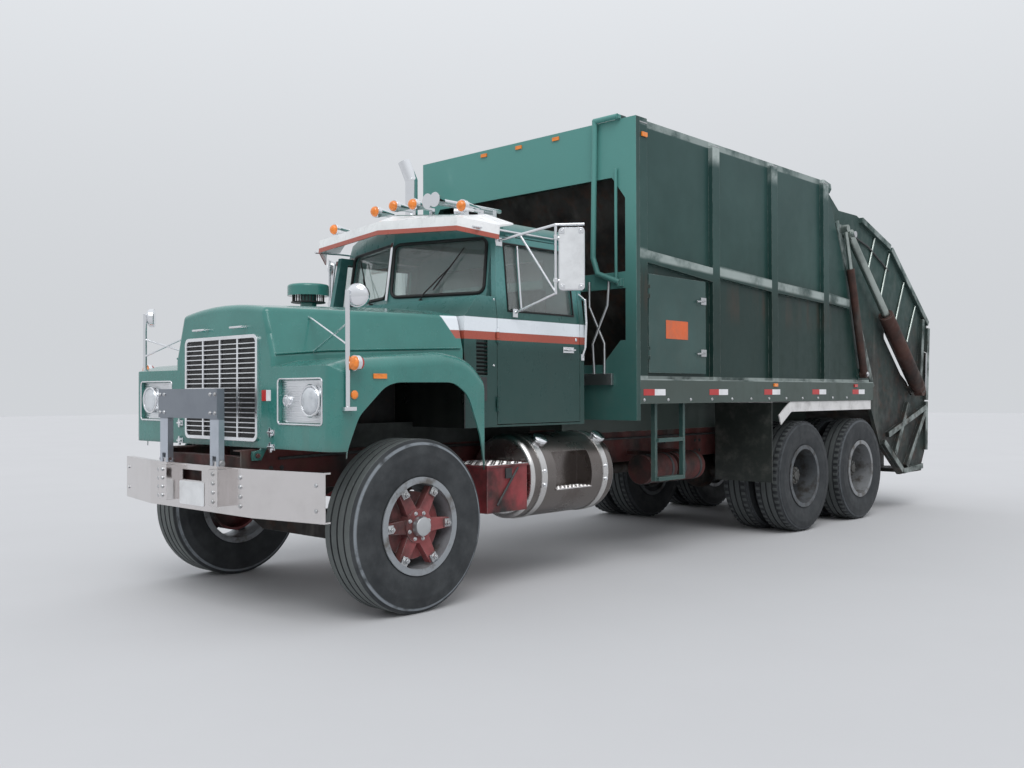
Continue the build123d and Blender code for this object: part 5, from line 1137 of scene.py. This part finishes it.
def make_interior():
    """Seats, dashboard, steering wheel and lever, in place of the plain node."""
    for side, s in SIDES:
        seat = Piece(side + "_seat", "seat", "chassis")
        seat.box((s * 0.480 - 0.240, s * 0.480 + 0.240), (-2.480, -2.060), (1.470, 1.620))
        for i in range(5):
            x = s * 0.480 - 0.184 + 0.092 * i
            seat.rod((x, -2.465, 1.622), (x, -2.150, 1.622), 0.034)
            seat.rod((x, -2.118, 1.660), (x, -2.080, 2.140), 0.034)
        seat.box((s * 0.480 - 0.225, s * 0.480 + 0.225), (-2.110, -2.015), (1.600, 2.175))
        seat.finish(0.030)
        base = Piece(side + "_seat_base", "dark_paint", "chassis")
        base.box((s * 0.480 - 0.190, s * 0.480 + 0.190), (-2.430, -2.100), (1.176, 1.468))
        base.finish(0.010)
    dash = Piece("dashboard", "dash", "chassis")
    outline = [(-0.880, -2.700), (0, -2.972), (0.880, -2.700), (0.880, -2.600), (-0.880, -2.600)]
    dash.prism([(x, y, 1.560) for x, y in outline], (0, 0, 0.318))
    dash.box((0.250, 0.720), (-2.660, -2.585), (1.700, 1.905))
    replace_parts(dash.finish(0.012), "cab_interior")
    dials = Piece("dash_dials", "chrome", "chassis")
    for i in range(5):
        dials.ring((0.310 + 0.088 * i, -2.585, 1.800), BACK, 0.030, 0.037, 0.008, 24)
    dials.finish(0)
    wheel = Piece("steering_wheel", "black", "chassis")
    tilt = Vector((0, 0.707, 0.707))
    hub = Vector((0.480, -2.475, 1.845))
    across = Vector(ACROSS)
    up = tilt.cross(across)
    turns = [2 * pi * i / 40 for i in range(40)]
    wheel.tube([hub + 0.225 * (across * cos(a) + up * sin(a)) for a in turns], 0.013, closed=True)
    for angle in (90, 210, 330):
        aim = across * cos(radians(angle)) + up * sin(radians(angle))
        wheel.rod(hub, hub + aim * 0.222, 0.010)
    wheel.lathe([(0, -0.030), (0.045, -0.030), (0.050, 0.006), (0, 0.012)], hub, tilt, 24)
    wheel.rod(hub - tilt * 0.220, hub, 0.024)
    wheel.tube([(0.060, -2.520, 1.180), (0.070, -2.500, 1.600), (0.050, -2.480, 1.760)], 0.010)
    wheel.dome((0.050, -2.480, 1.755), UP, 0.026, 0.030)
    wheel.finish(0)


def make_camera():
    data = bpy.data.cameras.new("camera")
    data.lens = LENS_MM
    data.sensor_width = SENSOR_MM
    camera = bpy.data.objects.new("camera", data)
    bpy.context.scene.collection.objects.link(camera)
    turn = Matrix.Rotation(radians(CAMERA_YAW), 4, "Z")
    turn = turn @ Matrix.Rotation(radians(90 + CAMERA_PITCH), 4, "X")
    turn = turn @ Matrix.Rotation(radians(CAMERA_ROLL), 4, "Z")
    camera.matrix_world = Matrix.Translation(CAMERA_AT) @ turn
    bpy.context.scene.camera = camera


def make_floor():
    mesh = bpy.data.meshes.new("floor")
    reach = 60.0
    corners = [(-reach, -reach, 0), (reach, -reach, 0), (reach, reach, 0), (-reach, reach, 0)]
    mesh.from_pydata(corners, [], [(0, 1, 2, 3)])
    floor = bpy.data.objects.new("floor", mesh)
    bpy.context.scene.collection.objects.link(floor)
    g = Graph("floor_finish")
    pale = g.mix(g.noise(0.6, 4.0), (0.58, 0.58, 0.59, 1), (0.54, 0.54, 0.55, 1))
    mesh.materials.append(g.set(Base_Color=pale, Roughness=0.8))


def make_light():
    """An even pale sky, brighter overhead, and one broad soft lamp from the front left."""
    world = bpy.data.worlds.new("sky")
    bpy.context.scene.world = world
    world.use_nodes = True
    tree = world.node_tree
    place = tree.nodes.new("ShaderNodeTexCoord")
    split = tree.nodes.new("ShaderNodeSeparateXYZ")
    tree.links.new(place.outputs["Generated"], split.inputs[0])
    ramp = tree.nodes.new("ShaderNodeMapRange")
    ramp.interpolation_type = "SMOOTHSTEP"
    for key, value in (("From Min", 0.02), ("From Max", 0.75), ("To Min", 0.68), ("To Max", 1.0)):
        ramp.inputs[key].default_value = value
    tree.links.new(split.outputs["Z"], ramp.inputs["Value"])
    sky = tree.nodes["Background"]
    sky.inputs["Color"].default_value = (0.93, 0.96, 1.0, 1)
    tree.links.new(ramp.outputs["Result"], sky.inputs["Strength"])
    lamp = bpy.data.lights.new("key", "SUN")
    lamp.energy = 1.1
    lamp.angle = radians(35)
    key = bpy.data.objects.new("key", lamp)
    key.matrix_world = Vector((0.55, -0.50, 0.95)).to_track_quat("Z", "Y").to_matrix().to_4x4()
    bpy.context.scene.collection.objects.link(key)
    bpy.context.scene.view_settings.view_transform = "Standard"


make_camera()
make_floor()
make_light()
make_wheels()
make_front()
make_cab()
make_doors()
make_fender_mirrors()
make_body()
make_chassis()
make_tailgate()
make_interior()
